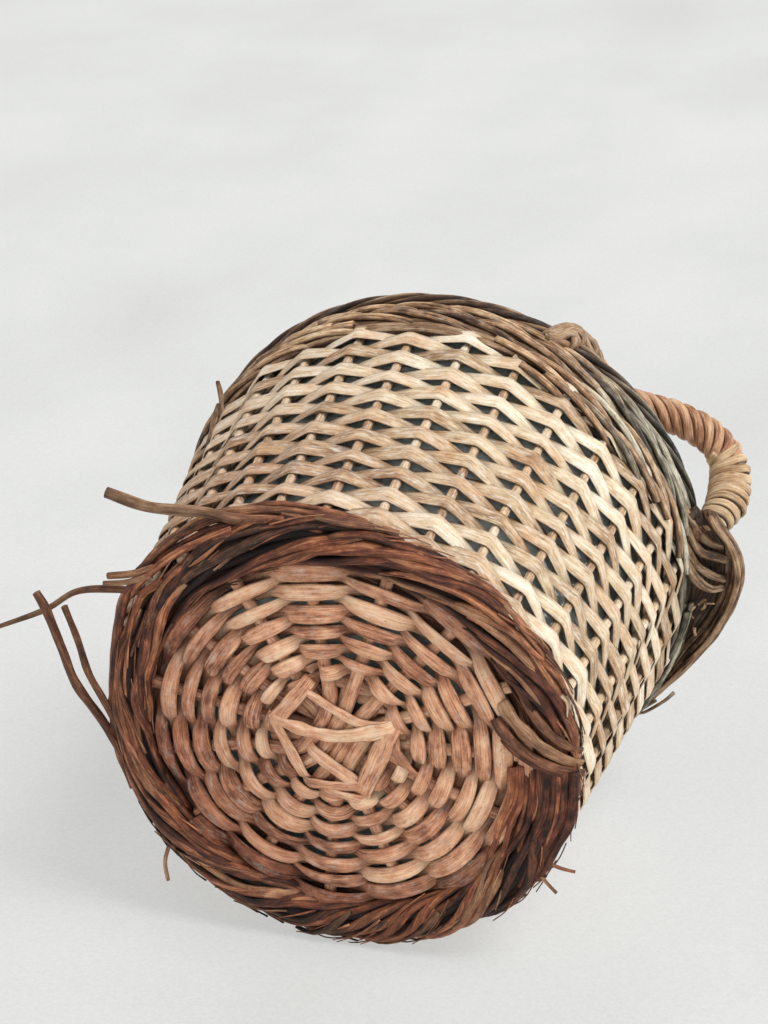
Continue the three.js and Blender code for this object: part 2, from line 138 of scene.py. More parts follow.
def wander(dice, size, wavelength):
    """A gentle random bend, as a function of the place along a strand."""
    waves = [
        (size * dice.uniform(0.3, 0.6), wavelength * dice.uniform(0.5, 1.6), dice.uniform(0, 6.28))
        for _ in range(3)
    ]
    return lambda run: sum(a * math.sin(6.283 * run / w + p) for a, w, p in waves)


def smooth_path(points, spacing):
    """A smooth line through the points, with places about this far apart."""
    ends = [points[0] * 2 - points[1], *points, points[-1] * 2 - points[-2]]
    path = []
    for before, start, stop, after in zip(ends, ends[1:], ends[2:], ends[3:]):
        count = max(1, round((stop - start).length / spacing))
        for i in range(count):
            t = i / count
            pull = (stop - before) * 0.5
            push = (after - start) * 0.5
            path.append(
                start * (2 * t**3 - 3 * t**2 + 1)
                + pull * (t**3 - 2 * t**2 + t)
                + stop * (3 * t**2 - 2 * t**3)
                + push * (t**3 - t**2)
            )
    path.append(points[-1].copy())
    return path


def lengths_along(path):
    """How far along the path each of its places is."""
    runs = [0.0]
    for a, b in zip(path, path[1:]):
        runs.append(runs[-1] + (b - a).length)
    return runs


# Strands: every rod and skein is a small ring drawn out from place to place

# How far the grain of one strand is moved against that of the next, by its tone
GRAIN_SHIFT = 977.0


def new_piece():
    """An empty piece. fibre runs along its strands, look holds a tone, a tuck of dirt and painted shade, and
    a tint.
    """
    piece = bmesh.new()
    piece.verts.layers.float_vector.new("fibre")
    piece.verts.layers.float_vector.new("look")
    return piece


def places_along(path, outs, sizes, rolls=None, closed=False):
    """One matrix for each place: across, outward and along, scaled by half the width and thickness."""
    places = []
    last = len(path) - 1
    for i, point in enumerate(path):
        before = path[i - 1] if i or closed else point
        after = path[(i + 1) % len(path)] if i < last or closed else point
        along = (after - before).normalized()
        out = (outs[i] - along * outs[i].dot(along)).normalized()
        across = out.cross(along)
        turn = Matrix((across, out, along)).transposed().to_4x4()
        if rolls:
            turn = turn @ Matrix.Rotation(rolls[i], 4, "Z")
        width, thickness = sizes[i]
        places.append(Matrix.Translation(point) @ turn @ Matrix.Diagonal((width, thickness, 1.0, 1.0)))
    return places


def each(value, count):
    """One value for every place of a strand, or the list that is given."""
    return value if isinstance(value, list) else [value] * count


def add_strand(piece, places, tone, sides=8, tucks=0.0, tint=0.0, closed=False, crease=0.8):
    """Draws one strand and adds it to the piece.

    tucks says how much dirt and painted shade each place gets, and crease how much painted shade
    its sides and its back get, where the next strand lies on it.
    """
    strand = new_piece()
    fibre = strand.verts.layers.float_vector["fibre"]
    look = strand.verts.layers.float_vector["look"]
    count = len(places)
    looks = list(zip(each(tone, count), each(tucks, count), each(tint, count)))

    # The sides and the back of a strand get painted shade by crease
    def creased(values, outward):
        return values[0], values[1] + crease * max(0.0, 0.45 - outward), values[2]

    ring = bmesh.ops.create_circle(strand, cap_ends=False, segments=sides, radius=1.0)["verts"]
    bmesh.ops.rotate(strand, verts=ring, matrix=Matrix.Rotation(math.pi / sides, 3, "Z"))
    size = places[count // 2].to_scale()
    run = GRAIN_SHIFT * looks[0][0]
    for corner in ring:
        corner[fibre] = (corner.co.x * size.x, corner.co.y * size.y, run)
        corner[look] = creased(looks[0], corner.co.y)
    bmesh.ops.transform(strand, matrix=places[0], verts=ring)
    first = list(strand.edges)
    edges = first
    for i in range(1, count):
        made = bmesh.ops.extrude_edge_only(strand, edges=edges)["geom"]
        corners = [part for part in made if isinstance(part, bmesh.types.BMVert)]
        fresh = set(corners)
        edges = [
            part
            for part in made
            if isinstance(part, bmesh.types.BMEdge) and fresh.issuperset(part.verts)
        ]
        step = places[i] @ places[i - 1].inverted()
        bmesh.ops.transform(strand, matrix=step, verts=corners)
        run += (places[i].translation - places[i - 1].translation).length
        for corner in corners:
            x, y, _ = corner[fibre]
            corner[fibre] = (x, y, run)
            corner[look] = creased(looks[i], y / size.y)
    if closed:
        bmesh.ops.bridge_loops(strand, edges=first + edges)
    else:
        bmesh.ops.edgeloop_fill(strand, edges=first)
        bmesh.ops.edgeloop_fill(strand, edges=edges)
    bmesh.ops.recalc_face_normals(strand, faces=strand.faces)
    drawn = bpy.data.meshes.new("strand")
    strand.to_mesh(drawn)
    strand.free()
    piece.from_mesh(drawn)
    bpy.data.meshes.remove(drawn)


def add_rod(
    piece,
    path,
    diameter,
    tone,
    out=None,
    taper=(1.0, 1.0),
    sides=8,
    tint=0.0,
    tucks=0.0,
    rough=0.04,
    swell=0.0,
    crease=0.0,
):
    """A round rod along a path, a little uneven, thicker in its middle by swell, with tapered ends."""
    dice = random.Random(round(tone * 1e6))
    runs = lengths_along(path)
    whole = runs[-1]
    uneven = wander(dice, rough, 30)
    sizes = []
    for run in runs:
        share = run / whole
        middle = max(0.0, 1 - abs(share - 0.5) / 0.24)
        half = 0.5 * diameter * blend(taper[0], taper[1], share) * (1 + uneven(run))
        half *= 1 + swell * middle * middle * (3 - 2 * middle)
        sizes.append((half, half))
    outs = [out or Vector((0.1, 0.2, 1.0))] * len(path)
    add_strand(piece, places_along(path, outs, sizes), tone, sides, tucks, tint, crease=crease)


def finish_piece(piece, name, material, nodes, body="demijohn"):
    """Makes the piece an object in metres, that rides on its body and takes the place of nodes."""
    for face in piece.faces:
        face.smooth = True
    mesh = bpy.data.meshes.new(name)
    piece.to_mesh(mesh)
    piece.free()
    mesh.transform(Matrix.Scale(MM, 4))
    mesh.materials.append(material)
    thing = bpy.data.objects.new(name, mesh)
    bpy.context.scene.collection.objects.link(thing)
    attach(thing, body)
    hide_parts(*nodes)
    return thing


# Materials

WORN_PALE = (0.72, 0.68, 0.6, 1.0)
DARK_FLECK = (0.07, 0.035, 0.02, 1.0)
# The colour towards which dirt and painted shade in the tucks and creases darken a strand
TUCK_SHADE = (0.12, 0.09, 0.072, 1.0)
# The heights in metres between which the pale painted reflection on the glass ends
PAINTED_REFLECTION_ENDS = (0.198, 0.228)


def new_material(name):
    """A new material, its node tree and its shader."""
    material = bpy.data.materials.new(name)
    material.use_nodes = True
    tree = material.node_tree
    shader = tree.nodes["Principled BSDF"]
    return material, tree, shader


def add_node(tree, kind, inputs=None, **settings):
    """A node with its settings, each input linked or set."""
    made = tree.nodes.new(kind)
    for name, value in settings.items():
        setattr(made, name, value)
    for name, value in (inputs or {}).items():
        socket = made.inputs[name]
        if isinstance(value, bpy.types.NodeSocket):
            tree.links.new(value, socket)
        else:
            socket.default_value = value
    return made


def sums(tree, operation, first, second, clamp=False):
    """One step of arithmetic."""
    made = add_node(tree, "ShaderNodeMath", {0: first, 1: second}, operation=operation)
    made.use_clamp = clamp
    return made.outputs[0]


def stretched_noise(tree, vector, scale, detail=3.0, roughness=0.6):
    """Noise that is drawn out where its scale is small."""
    turned = add_node(tree, "ShaderNodeMapping", {"Vector": vector, "Scale": scale})
    noise = add_node(
        tree,
        "ShaderNodeTexNoise",
        {"Vector": turned.outputs[0], "Scale": 1.0, "Detail": detail, "Roughness": roughness},
    )
    return noise.outputs["Fac"]


def even_noise(tree, vector, scale, detail=3.0, roughness=0.6):
    """Noise with one scale in every direction."""
    return stretched_noise(tree, vector, (scale, scale, scale), detail, roughness)


def centred(tree, noise, weight):
    """Noise moved to lie evenly round nought, and weighted."""
    return sums(tree, "MULTIPLY", sums(tree, "SUBTRACT", noise, 0.5), weight)


def ranged(tree, value, start=0.0, end=1.0, low=0.0, high=1.0):
    """The value, spread from start and end over low and high."""
    sockets = {"Value": value, "From Min": start, "From Max": end, "To Min": low, "To Max": high}
    return add_node(tree, "ShaderNodeMapRange", sockets).outputs["Result"]


def add_bump(tree, shader, height, strength, depth):
    """Fine relief on a surface, its depth in millimetres."""
    bump = add_node(tree, "ShaderNodeBump", {"Strength": strength, "Distance": depth * MM, "Height": height})
    tree.links.new(bump.outputs["Normal"], shader.inputs["Normal"])


def shade_ramp(tree, factor, shades):
    """Shades from dark to light, evenly spaced along the factor."""
    ramp = add_node(tree, "ShaderNodeValToRGB", {"Fac": factor})
    stops = ramp.color_ramp.elements
    while len(stops) < len(shades):
        stops.new(0.5)
    for i, colour in enumerate(shades):
        stops[i].position = i / (len(shades) - 1)
        stops[i].color = (*colour, 1.0)
    return ramp.outputs["Color"]


def mix_colours(tree, factor, first, second, way="MIX"):
    """Two colours put together by a factor."""
    made = add_node(tree, "ShaderNodeMix", data_type="RGBA", blend_type=way)
    for index, value in ((0, factor), (6, first), (7, second)):
        if isinstance(value, bpy.types.NodeSocket):
            tree.links.new(value, made.inputs[index])
        else:
            made.inputs[index].default_value = value
    return made.outputs[2]


def linear(red, green, blue):
    """A colour, 0 to 255, as the shader takes it."""
    return tuple(((c / 255 + 0.055) / 1.055) ** 2.4 if c > 10 else c / 3295 for c in (red, green, blue))


def tones(*colours):
    """Several colours, as the shader takes them."""
    return [linear(*colour) for colour in colours]


def willow(
    name,
    shades,
    others=None,
    zone=None,
    grain=1.0,
    roughness=0.62,
    relief=0.3,
    spots=0.5,
    bleach=0.0,
    contrast=1.0,
    blush=None,
):
    """Willow: streaks along the fibre, a tone for each strand, blotches, dirt and painted shade in the tucks.

    others are the shades that take over where zone (a direction, start and end in metres) says,
    or where the strand itself is tinted. bleach is how far pale worn patches go, and blush
    a colour that warms the strands in broad patches.
    """
    material, tree, shader = new_material(name)
    fibre = add_node(tree, "ShaderNodeAttribute", attribute_name="fibre").outputs["Vector"]
    look = add_node(tree, "ShaderNodeAttribute", attribute_name="look").outputs["Vector"]
    own_tone, tuck, tint = add_node(tree, "ShaderNodeSeparateXYZ", {"Vector": look}).outputs
    place = add_node(tree, "ShaderNodeTexCoord").outputs["Object"]
    fine = stretched_noise(tree, fibre, (2.6, 2.6, 0.07), 4.0, 0.7)
    broad = stretched_noise(tree, fibre, (0.8, 0.8, 0.035), 3.0)
    patch = stretched_noise(tree, fibre, (0.3, 0.3, 0.11), 4.0, 0.65)
    blotch = even_noise(tree, place, 60.0, 4.0, 0.65)
    factor = sums(tree, "MULTIPLY", own_tone, 0.5)
    for noise, weight in ((fine, 1.1 * grain), (broad, 0.8), (patch, 1.1), (blotch, 0.8)):
        factor = sums(tree, "ADD", factor, centred(tree, noise, weight))
    factor = sums(tree, "ADD", sums(tree, "MULTIPLY", factor, contrast), 0.5 - 0.25 * contrast, True)
    colour = shade_ramp(tree, factor, shades)
    if blush:
        mottle = even_noise(tree, place, 38.0, 3.0, 0.6)
        amount = sums(tree, "MULTIPLY", ranged(tree, mottle, 0.48, 0.68), 0.75)
        warmed = mix_colours(tree, 1.0, colour, (*blush, 1.0), "MULTIPLY")
        colour = mix_colours(tree, amount, colour, warmed)
    if others:
        amount = tint
        if zone:
            direction, start, end = zone
            dot = add_node(tree, "ShaderNodeVectorMath", {0: place, 1: direction}, operation="DOT_PRODUCT")
            reach = sums(tree, "ADD", dot.outputs["Value"], centred(tree, blotch, 0.06))
            amount = sums(tree, "ADD", tint, ranged(tree, reach, start, end), True)
        colour = mix_colours(tree, amount, colour, shade_ramp(tree, factor, others))
    worn = stretched_noise(tree, fibre, (0.55, 0.55, 0.16), 3.0, 0.6)
    paled = sums(tree, "MULTIPLY", ranged(tree, worn, 0.52, 0.72), bleach)
    colour = mix_colours(tree, paled, colour, WORN_PALE)
    flecks = stretched_noise(tree, fibre, (1.0, 1.0, 0.3), 4.0, 0.7)
    faint = sums(tree, "MULTIPLY", ranged(tree, flecks, 0.58, 0.74), spots)
    colour = mix_colours(tree, faint, colour, DARK_FLECK)
    # Dirt and painted shade: darker in the tucks and creases, and in blotches
    dirt_and_shade = sums(tree, "ADD", tuck, centred(tree, blotch, 0.5), True)
    shaded = mix_colours(tree, 1.0, colour, TUCK_SHADE, "MULTIPLY")
    colour = mix_colours(tree, dirt_and_shade, colour, shaded)
    tree.links.new(colour, shader.inputs["Base Color"])
    height = sums(tree, "ADD", fine, sums(tree, "MULTIPLY", flecks, 0.6))
    height = sums(tree, "ADD", height, broad)
    add_bump(tree, shader, height, 0.9, relief)
    shine = ranged(tree, broad, low=roughness - 0.12, high=roughness + 0.14)
    tree.links.new(shine, shader.inputs["Roughness"])
    shader.inputs["Specular IOR Level"].default_value = 0.35
    return material


def base_willow():
    """The sticks and skeins of the base: peach, darker and redder towards one side."""
    # The direction towards which the base turns darker and redder
    darker_redder_side = (-0.94, 0.34, 0.0)
    return willow(
        "peach stripped willow",
        tones((128, 78, 54), (198, 138, 104), (226, 174, 136), (242, 208, 172)),
        tones((70, 36, 24), (124, 70, 46), (168, 104, 74), (200, 142, 108)),
        zone=(darker_redder_side, 0.0, 0.12),
        grain=1.1,
        roughness=0.6,
        relief=0.55,
        spots=0.6,
        bleach=0.3,
        contrast=1.25,
    )


def pale_willow():
    """The side and the cape: straw coloured, a browner tone and painted shade on the side turned from the
    light.
    """
    # Partly a browner tone, partly painted shade on the side turned from the light
    browner_shaded_side = (-0.62, -0.35, -0.70)
    return willow(
        "straw split willow",
        tones((130, 101, 73), (187, 159, 124), (216, 196, 164), (236, 228, 211)),
        tones((116, 80, 58), (164, 124, 94), (196, 156, 122), (216, 184, 152)),
        zone=(browner_shaded_side, -0.07, 0.06),
        grain=1.0,
        roughness=0.6,
        relief=0.4,
        spots=0.55,
        bleach=0.7,
        contrast=1.2,
        blush=(0.86, 0.62, 0.46),
    )


def bark_willow():
    """Rods with their bark: dark reddish brown, and a greyer brown for tinted ones."""
    return willow(
        "willow with brown bark",
        tones((24, 11, 7), (88, 44, 27), (140, 80, 51), (196, 134, 92)),
        tones((60, 40, 28), (108, 77, 53), (150, 113, 82), (191, 156, 122)),
        grain=1.05,
        roughness=0.6,
        relief=0.5,
        spots=0.4,
        contrast=1.2,
    )


def band_willow():
    """The band and the rings over it: weathered brown, gone grey at the damage."""
    damaged = (1.0, 0.2, 0.0)
    return willow(
        "weathered willow rods",
        tones((54, 37, 26), (138, 101, 70), (192, 153, 114), (230, 202, 164)),
        tones((37, 35, 28), (88, 83, 66), (143, 135, 113), (208, 200, 178)),
        zone=(damaged, 0.06, 0.12),
        grain=1.3,
        roughness=0.5,
        relief=0.45,
        spots=0.5,
        bleach=0.25,
        contrast=1.4,
    )


def rope_willow():
    """The roped rods of the handles."""
    return willow(
        "twisted reddish willow",
        tones((88, 52, 32), (148, 100, 70), (190, 144, 108), (220, 186, 150)),
        grain=1.3,
        roughness=0.56,
        relief=0.5,
        spots=0.45,
        bleach=0.3,
        contrast=1.1,
    )


def whipping_willow():
    """The bindings of the handles: straw coloured, brown for tinted skeins."""
    return willow(
        "straw binding skein",
        tones((134, 100, 68), (184, 150, 110), (212, 182, 142), (232, 212, 178)),
        tones((74, 50, 34), (128, 94, 68), (170, 134, 102), (206, 174, 138)),
        grain=1.5,
        roughness=0.55,
        relief=0.5,
        spots=0.5,
        bleach=0.3,
        contrast=1.2,
    )


def green_glass():
    """Dark green glass, painted pale behind the side weave as a painted reflection that ends under the cape.
    """
    material, tree, shader = new_material("dark green bottle glass")
    place = add_node(tree, "ShaderNodeTexCoord").outputs["Object"]
    cloud = stretched_noise(tree, place, (14.0, 14.0, 9.0), 3.0)
    # Pale painted reflection and painted light, where the glass shows between the skeins
    painted_reflection = shade_ramp(tree, cloud, tones((146, 166, 154), (198, 212, 206), (232, 238, 238)))
    height = add_node(tree, "ShaderNodeSeparateXYZ", {"Vector": place}).outputs["Z"]
    dark_glass_share = ranged(tree, height, *PAINTED_REFLECTION_ENDS)
    colour = mix_colours(tree, dark_glass_share, painted_reflection, (*linear(52, 72, 58), 1.0))
    tree.links.new(colour, shader.inputs["Base Color"])
    dirt = even_noise(tree, place, 60.0, 4.0)
    tree.links.new(ranged(tree, dirt, low=0.1, high=0.32), shader.inputs["Roughness"])
    ripple = stretched_noise(tree, place, (22.0, 22.0, 12.0), 1.0)
    add_bump(tree, shader, ripple, 0.35, 1.2)
    shader.inputs["Transmission Weight"].default_value = 0.15
    shader.inputs["IOR"].default_value = 1.5
    return material


def cut_cork():
    """Cork with dark pits."""
    material, tree, shader = new_material("cut cork")
    place = add_node(tree, "ShaderNodeTexCoord").outputs["Object"]
    grain = even_noise(tree, place, 260.0, 4.0, 0.7)
    colour = shade_ramp(tree, grain, tones((96, 60, 36), (168, 120, 80), (206, 162, 118)))
    pits = add_node(tree, "ShaderNodeTexVoronoi", {"Vector": place, "Scale": 420.0})
    whole = ranged(tree, pits.outputs["Distance"], 0.12, 0.3)
    colour = mix_colours(tree, whole, (*linear(70, 42, 26), 1.0), colour)
    tree.links.new(colour, shader.inputs["Base Color"])
    add_bump(tree, shader, sums(tree, "ADD", grain, whole), 0.7, 0.4)
    shader.inputs["Roughness"].default_value = 0.9
    return material


# Bottle and cork

NEAR_AXIS = 0.001
PUNT = 12.0
HEEL_HEIGHT = 36.0
# The foot of the glass: share of the heel's radius, and height over the seat
GLASS_FOOT = [(0.5, 9), (0.74, 1.5), (0.81, 0), (0.89, 2), (0.96, 10)]
CORK_DEPTH = 24.0
CORK_RISE = 13.0


def spun_piece(outline, steps):
    """Spins an outline of radius and height about the upright axis."""
    piece = bmesh.new()
    corners = [piece.verts.new((r, 0.0, z)) for r, z in outline]
    edges = [piece.edges.new(pair) for pair in zip(corners, corners[1:])]
    bmesh.ops.spin(
        piece,
        geom=corners + edges,
        cent=(0, 0, 0),
        axis=(0, 0, 1),
        angle=2 * math.pi,
        steps=steps,
        use_merge=True,
    )
    bmesh.ops.remove_doubles(piece, verts=piece.verts, dist=0.01)
    bmesh.ops.recalc_face_normals(piece, faces=piece.faces)
    return piece


def glass_bottle(material):
    """The bottle, spun from one outline: up its outside, over the lip and down its inside."""
    heel = glass_radius(HEEL_HEIGHT)
    foot = [(NEAR_AXIS, BASE_SEAT + PUNT)]
    foot += [(heel * share, BASE_SEAT + rise) for share, rise in GLASS_FOOT]
    foot += [(heel, HEEL_HEIGHT), (glass_radius(60), 60)]
    rounded = [(p.x, p.z) for p in smooth_path([Vector((r, 0, z)) for r, z in foot], 3.0)]
    steps = 40
    upper_heights = [blend(BEND, NECK_BASE, i / steps) for i in range(steps + 1)]
    upper = [(glass_radius(z), z) for z in upper_heights]
    under_lip = MOUTH - LIP
    lip = NECK + LIP_WIDTH
    mouth = [
        (NECK, under_lip),
        (lip - 0.6, under_lip + 1.2),
        (lip, under_lip + 2.6),
        (lip, MOUTH - 3),
        (lip - 0.8, MOUTH - 0.8),
        (lip - 2.5, MOUTH),
        (BORE + 1, MOUTH),
        (BORE, MOUTH - 1),
        (BORE, NECK_BASE + 4),
    ]
    inner = [(max(r - GLASS * 1.1, BORE), z - 2) for r, z in reversed(upper)]
    inside_foot = [(r - GLASS, z + GLASS) for r, z in reversed(rounded) if r > GLASS * 2]
    outline = rounded + upper + mouth + inner + inside_foot + [(NEAR_AXIS, BASE_SEAT + PUNT + GLASS)]
    return finish_piece(spun_piece(outline, 96), "bottle", material, ["glass_bottle"])


def cork(material):
    """A tapered cork, slimmer in the bore than over the mouth."""
    foot = MOUTH - CORK_DEPTH
    top = MOUTH + CORK_RISE
    outline = [
        (NEAR_AXIS, foot),
        (13.2, foot),
        (13.9, foot + 0.6),
        (14.2, foot + 2),
        (14.2, MOUTH + 0.3),
        (16.3, top - 1.6),
        (16.1, top - 0.6),
        (15.2, top),
        (NEAR_AXIS, top),
    ]
    return finish_piece(spun_piece(outline, 48), "cork", material, ["cork_stopper"], "cork")


# Base

# Two bundles of sticks: how many, the steps of the fan where their ends and starts begin, how far
# they are turned and lifted, and how far apart they lie at the crossing
STICK_BUNDLES = [(4, -1.5, 9.5, 0.0, 0.0, 8.7), (3, 2.5, 12.5, 90.0, 7.6, 8.2)]
STICK_FAN = (47, 72, 100)
ODD_STICK = 5.5
CROSSING_HALF = 16
CROSSING_HEIGHT = 6.9
FILLER_HEIGHT = 10.5
# Short rods that show under the lashing: middle, and half their length
UNDER_LASHING = [((10, -31), 9), ((18, -27), 9), ((23, -20), 8)]

# The spiral of the base weave: the radii where it starts and ends, its pitch, the steps to a stick
WEAVE_START = 30.5
WEAVE_END = 101.0
WEAVE_PITCH = 5.6
WEAVE_STEPS = 8
# Near the crossing, between two azimuths, its skeins stay behind the sticks
BEHIND_RADIUS = 41
BEHIND_BETWEEN = (-98, -32)
RIM_RODS = (86.0, 91.5, 97.0, 101.5)
RIM_HEIGHT = 12.6


def stick_height(radius):
    """How high the base sticks lie, a little higher towards the rim."""
    return blend(6.5, 9.5, radius / BASE_RIM)


def fan_place(radius, azimuth):
    """A place on the fan of the base sticks."""
    return spot(radius, azimuth, stick_height(radius))


def base_sticks(material):
    """Seven rods crossed at the middle in two bundles, and an odd one, fanned out to fifteen ends."""
    dice = random.Random(3)
    piece = new_piece()
    for count, end_first, start_first, heading, lift, lane_pitch in STICK_BUNDLES:
        turn = math.radians(BASE_TURN + heading)
        along = Vector((math.cos(turn), math.sin(turn), 0))
        aside = Vector((-along.y, along.x, 0))
        level = Vector((0, 0, CROSSING_HEIGHT + lift))
        for i in range(count):
            lane = (i - (count - 1) / 2) * lane_pitch
            end = BASE_TURN + (end_first + i) * STICK_STEP
            start = BASE_TURN + (start_first - i) * STICK_STEP
            points = [
                *(fan_place(radius, start) for radius in reversed(STICK_FAN)),
                along * -CROSSING_HALF + aside * lane + level,
                along * CROSSING_HALF + aside * lane + level,
                *(fan_place(radius, end) for radius in STICK_FAN),
            ]
            path = smooth_path(points, 5)
            add_rod(piece, path, BASE_STICK, dice.uniform(0.1, 0.8), UNDER, sides=12, swell=0.24, crease=0.6)
    odd = BASE_TURN + ODD_STICK * STICK_STEP
    path = [fan_place(radius, odd) for radius in (26, 40, 55, 70, 85, 100)]
    add_rod(piece, path, BASE_STICK, 0.45, UNDER, sides=12, crease=0.6)
    add_crossing_fillers(piece, dice)
    nodes = ["base_sticks_lower", "base_sticks_upper", "base_stick_odd"]
    return finish_piece(piece, "base_sticks", material, nodes)


def add_crossing_fillers(piece, dice):
    """Short rods in the four corners of the crossing, and three that show under its lashing."""
    for corner in (-7, 83, 173, -97):
        for turn in (-27, -9, 9, 27):
            path = [spot(radius, corner + turn, FILLER_HEIGHT) for radius in (10, 22, 36)]
            # A little painted shade in the corners of the crossing
            add_rod(piece, path, 7.6, dice.uniform(0.0, 0.5), UNDER, sides=10, tucks=0.3, crease=0.6)
    for (x, y), reach in UNDER_LASHING:
        flat_points = ((x - reach, y - 2), (x, y), (x + reach, y + 3))
        path = [Vector((*point, FILLER_HEIGHT)) for point in flat_points]
        # Darkened as painted shade under the lashing
        add_rod(piece, path, 7.4, 0.3, UNDER, sides=10, tucks=0.45, crease=0.6)


def base_skein(piece, dice, strokes, start, stop, crossings):
    """One skein of the base, between two crossings. strokes keeps the unevenness of each stroke."""
    tone = dice.uniform(0.1, 0.9)
    drift = wander(dice, 0.09, 40)
    path, sizes, rolls, tucks, own_tones = [], [], [], [], []
    for step in range(start * WEAVE_STEPS, stop * WEAVE_STEPS + 1):
        k = step / WEAVE_STEPS
        way = k / crossings
        stroke = 2 * round(k / 2)
        if stroke not in strokes:
            strokes[stroke] = [dice.uniform(-1, 1) for _ in range(3)]
        shade, fat, jog = strokes[stroke]
        azimuth = BASE_TURN + STICK_STEP / 2 + STICK_STEP * k
        radius = blend(WEAVE_START, WEAVE_END, way)
        behind = radius < BEHIND_RADIUS and BEHIND_BETWEEN[0] < wrap(azimuth) < BEHIND_BETWEEN[1]
        wave = -1.0 if behind else math.cos(math.pi * k)
        lift = math.copysign(abs(wave) ** 0.6, wave)
        front = 0.5 + 0.5 * lift
        depth = 5.0 * lift if lift > 0 else blend(2.4, 3.2, way) * lift
        radius += jog * front
        path.append(spot(radius, azimuth, stick_height(radius) - depth))
        half = blend(2.5, 4.4, front**1.1) * (1 + 0.17 * fat) * blend(0.97, 1.14, way)
        sizes.append((half, blend(0.9, 1.5, front)))
        rolls.append(drift(k * 10) * 4 + 0.2 * jog)
        # Painted shade where a skein goes behind a stick, and dirt and painted shade towards the rim
        rim = max(0.0, (way - 0.8) * 1.6)
        tucks.append(min(1.0, 0.6 * (1 - front) ** 1.4 + rim * 0.7))
        own_tones.append(min(1.0, max(0.0, tone + 0.32 * shade)))
    rim_tint = max(0.0, (start / crossings - 0.68) * 1.6) + dice.uniform(-0.1, 0.2)
    places = places_along(path, [UNDER] * len(path), sizes, rolls)
    add_strand(piece, places, own_tones, 10, tucks, max(0.0, rim_tint))


def base_weave(material):
    """Flat skeins in a spiral, in front of one stick end and behind the next, and rods behind them in painted
    shade.
    """
    dice = random.Random(5)
    piece = new_piece()
    crossings = int((WEAVE_END - WEAVE_START) / WEAVE_PITCH * STICK_ENDS)
    strokes = {}
    start = 0
    while start < crossings:
        stop = min(start + dice.randint(4, 8) * 2 + (start + 1) % 2, crossings)
        base_skein(piece, dice, strokes, start, stop, crossings)
        start = stop
    for radius in RIM_RODS:
        path = [spot(radius, a, RIM_HEIGHT + 0.5 * math.sin(a * 0.26)) for a in range(0, 360, 4)]
        places = places_along(path, [UNDER] * len(path), [(3.4, 0.8)] * len(path), closed=True)
        # These rods behind the weave are darkened as painted shade
        add_strand(piece, places, radius * 0.11 % 0.6, tucks=0.72, tint=0.9, closed=True)
    return finish_piece(piece, "base_weave_skeins", material, ["base_weave"])


def flat_strip(piece, points, width, tone, thickness=1.3, spacing=3.0, tint=0.0):
    """A flat split along the points, with a width at its start and one at its end."""
    dice = random.Random(round(tone * 1e5))
    path = smooth_path(points, spacing)
    ripple = wander(dice, 0.09, 25)
    runs = lengths_along(path)
    sizes = []
    for run in runs:
        share = run / runs[-1]
        half = blend(width[0], width[1], share) * 0.5 * (1 + ripple(run))
        sizes.append((half, thickness * 0.5))
    rolls = [ripple(run + 9) * 1.6 for run in runs]
    add_strand(piece, places_along(path, [UNDER] * len(path), sizes, rolls), tone, 10, tint=tint)


# Each strip of the lashing: its points, the height of its middle, its widths, its tone
LASHING = [
    ([(-9.8, -33.2), (-28.1, -15.2)], 1.3, (8.0, 9.5), 0.52),
    ([(-10.0, -32.0), (4.0, -19.4), (18.6, -9.8), (30.8, -9.6)], 1.6, (4.5, 7.6), 0.7),
    ([(-29.2, -15.2), (-0.1, -4.7), (31.6, -8.4)], 0.85, (6.4, 9.6), 0.8),
    ([(31.4, -7.3), (10.2, 27.9)], 0.95, (10.5, 11.0), 0.44),
    ([(-29.5, -14.0), (-25.6, 1.0), (-20.5, 18.6)], 1.5, (6.4, 5.6), 0.6),
    ([(-13.1, 3.6), (-3.0, 15.1), (9.6, 25.5)], 1.7, (7.4, 8.4), 0.66),
    ([(-18.3, 23.5), (9.3, 26.7)], 1.5, (5.0, 5.6), 0.35),
    ([(-9.9, 27.8), (6.8, 34.0)], 1.8, (4.6, 5.4), 0.58),
]
LASHING_TUCK = 5
# Two splits beside the crossing, with their widths
SIDE_SPLITS = [
    ([(22, 0, 5), (25, 3.4, 1.6), (30, 9.5, 1.2), (35, 16, 3.5)], 5.5),
    ([(28, 2, 5), (33, 8, 1.4), (37.5, 16.5, 1.6), (39, 22, 4.5)], 5.0),
]


def base_lashing(material):
    """The flat skeins that bind the crossing, corner to corner, their ends tucked in."""
    piece = new_piece()
    tuck = Vector((0, 0, LASHING_TUCK))
    for flat_points, z, width, tone in LASHING:
        points = [Vector((x, y, z)) for x, y in flat_points]
        first = (points[0] - points[1]).normalized() * 4.0
        last = (points[-1] - points[-2]).normalized() * 4.0
        points = [points[0] + first + tuck, *points, points[-1] + last + tuck]
        flat_strip(piece, points, width, tone)
    for points, width in SIDE_SPLITS:
        widths = (width, width * 0.8)
        flat_strip(piece, points_of(points), widths, 0.35, thickness=2.0, spacing=2.5, tint=0.55)
    return finish_piece(piece, "crossing_lashing", material, ["base_lashing"])


# Foot border

# How many times the border's rods wind round it in a full circle, and its outside, by azimuth
BORDER_LAY = [(-180, 2), (-120, 2), (-60, 3), (0, 2.5), (45, 3), (62, 6)]
BORDER_LAY += [(100, 6), (130, 4), (150, 3), (180, 2)]
BORDER_OUTSIDE = [(-180, 122), (-146, 122), (-110, 126.8), (140, 126.8), (180, 122)]
BORDER_INSIDE = 100.0
BORDER_HEIGHT = 7.0
BORDER_SWING = 4.2
BORDER_ROD_HALF = 2.8
# Where the border is worn away underneath: how much, at which azimuth, how far to each side
WORN = 3.0
WORN_AZIMUTH = 6
WORN_SPREAD = 15
# The azimuth that one step of a rod spans, and that its frayed end spans
BORDER_STEP = 2.2
FRAYED_END = 4.5
BORDER_RODS = 10
CORE_RODS = 4
LOOSE_RODS = 26
SPLINTERS = 170
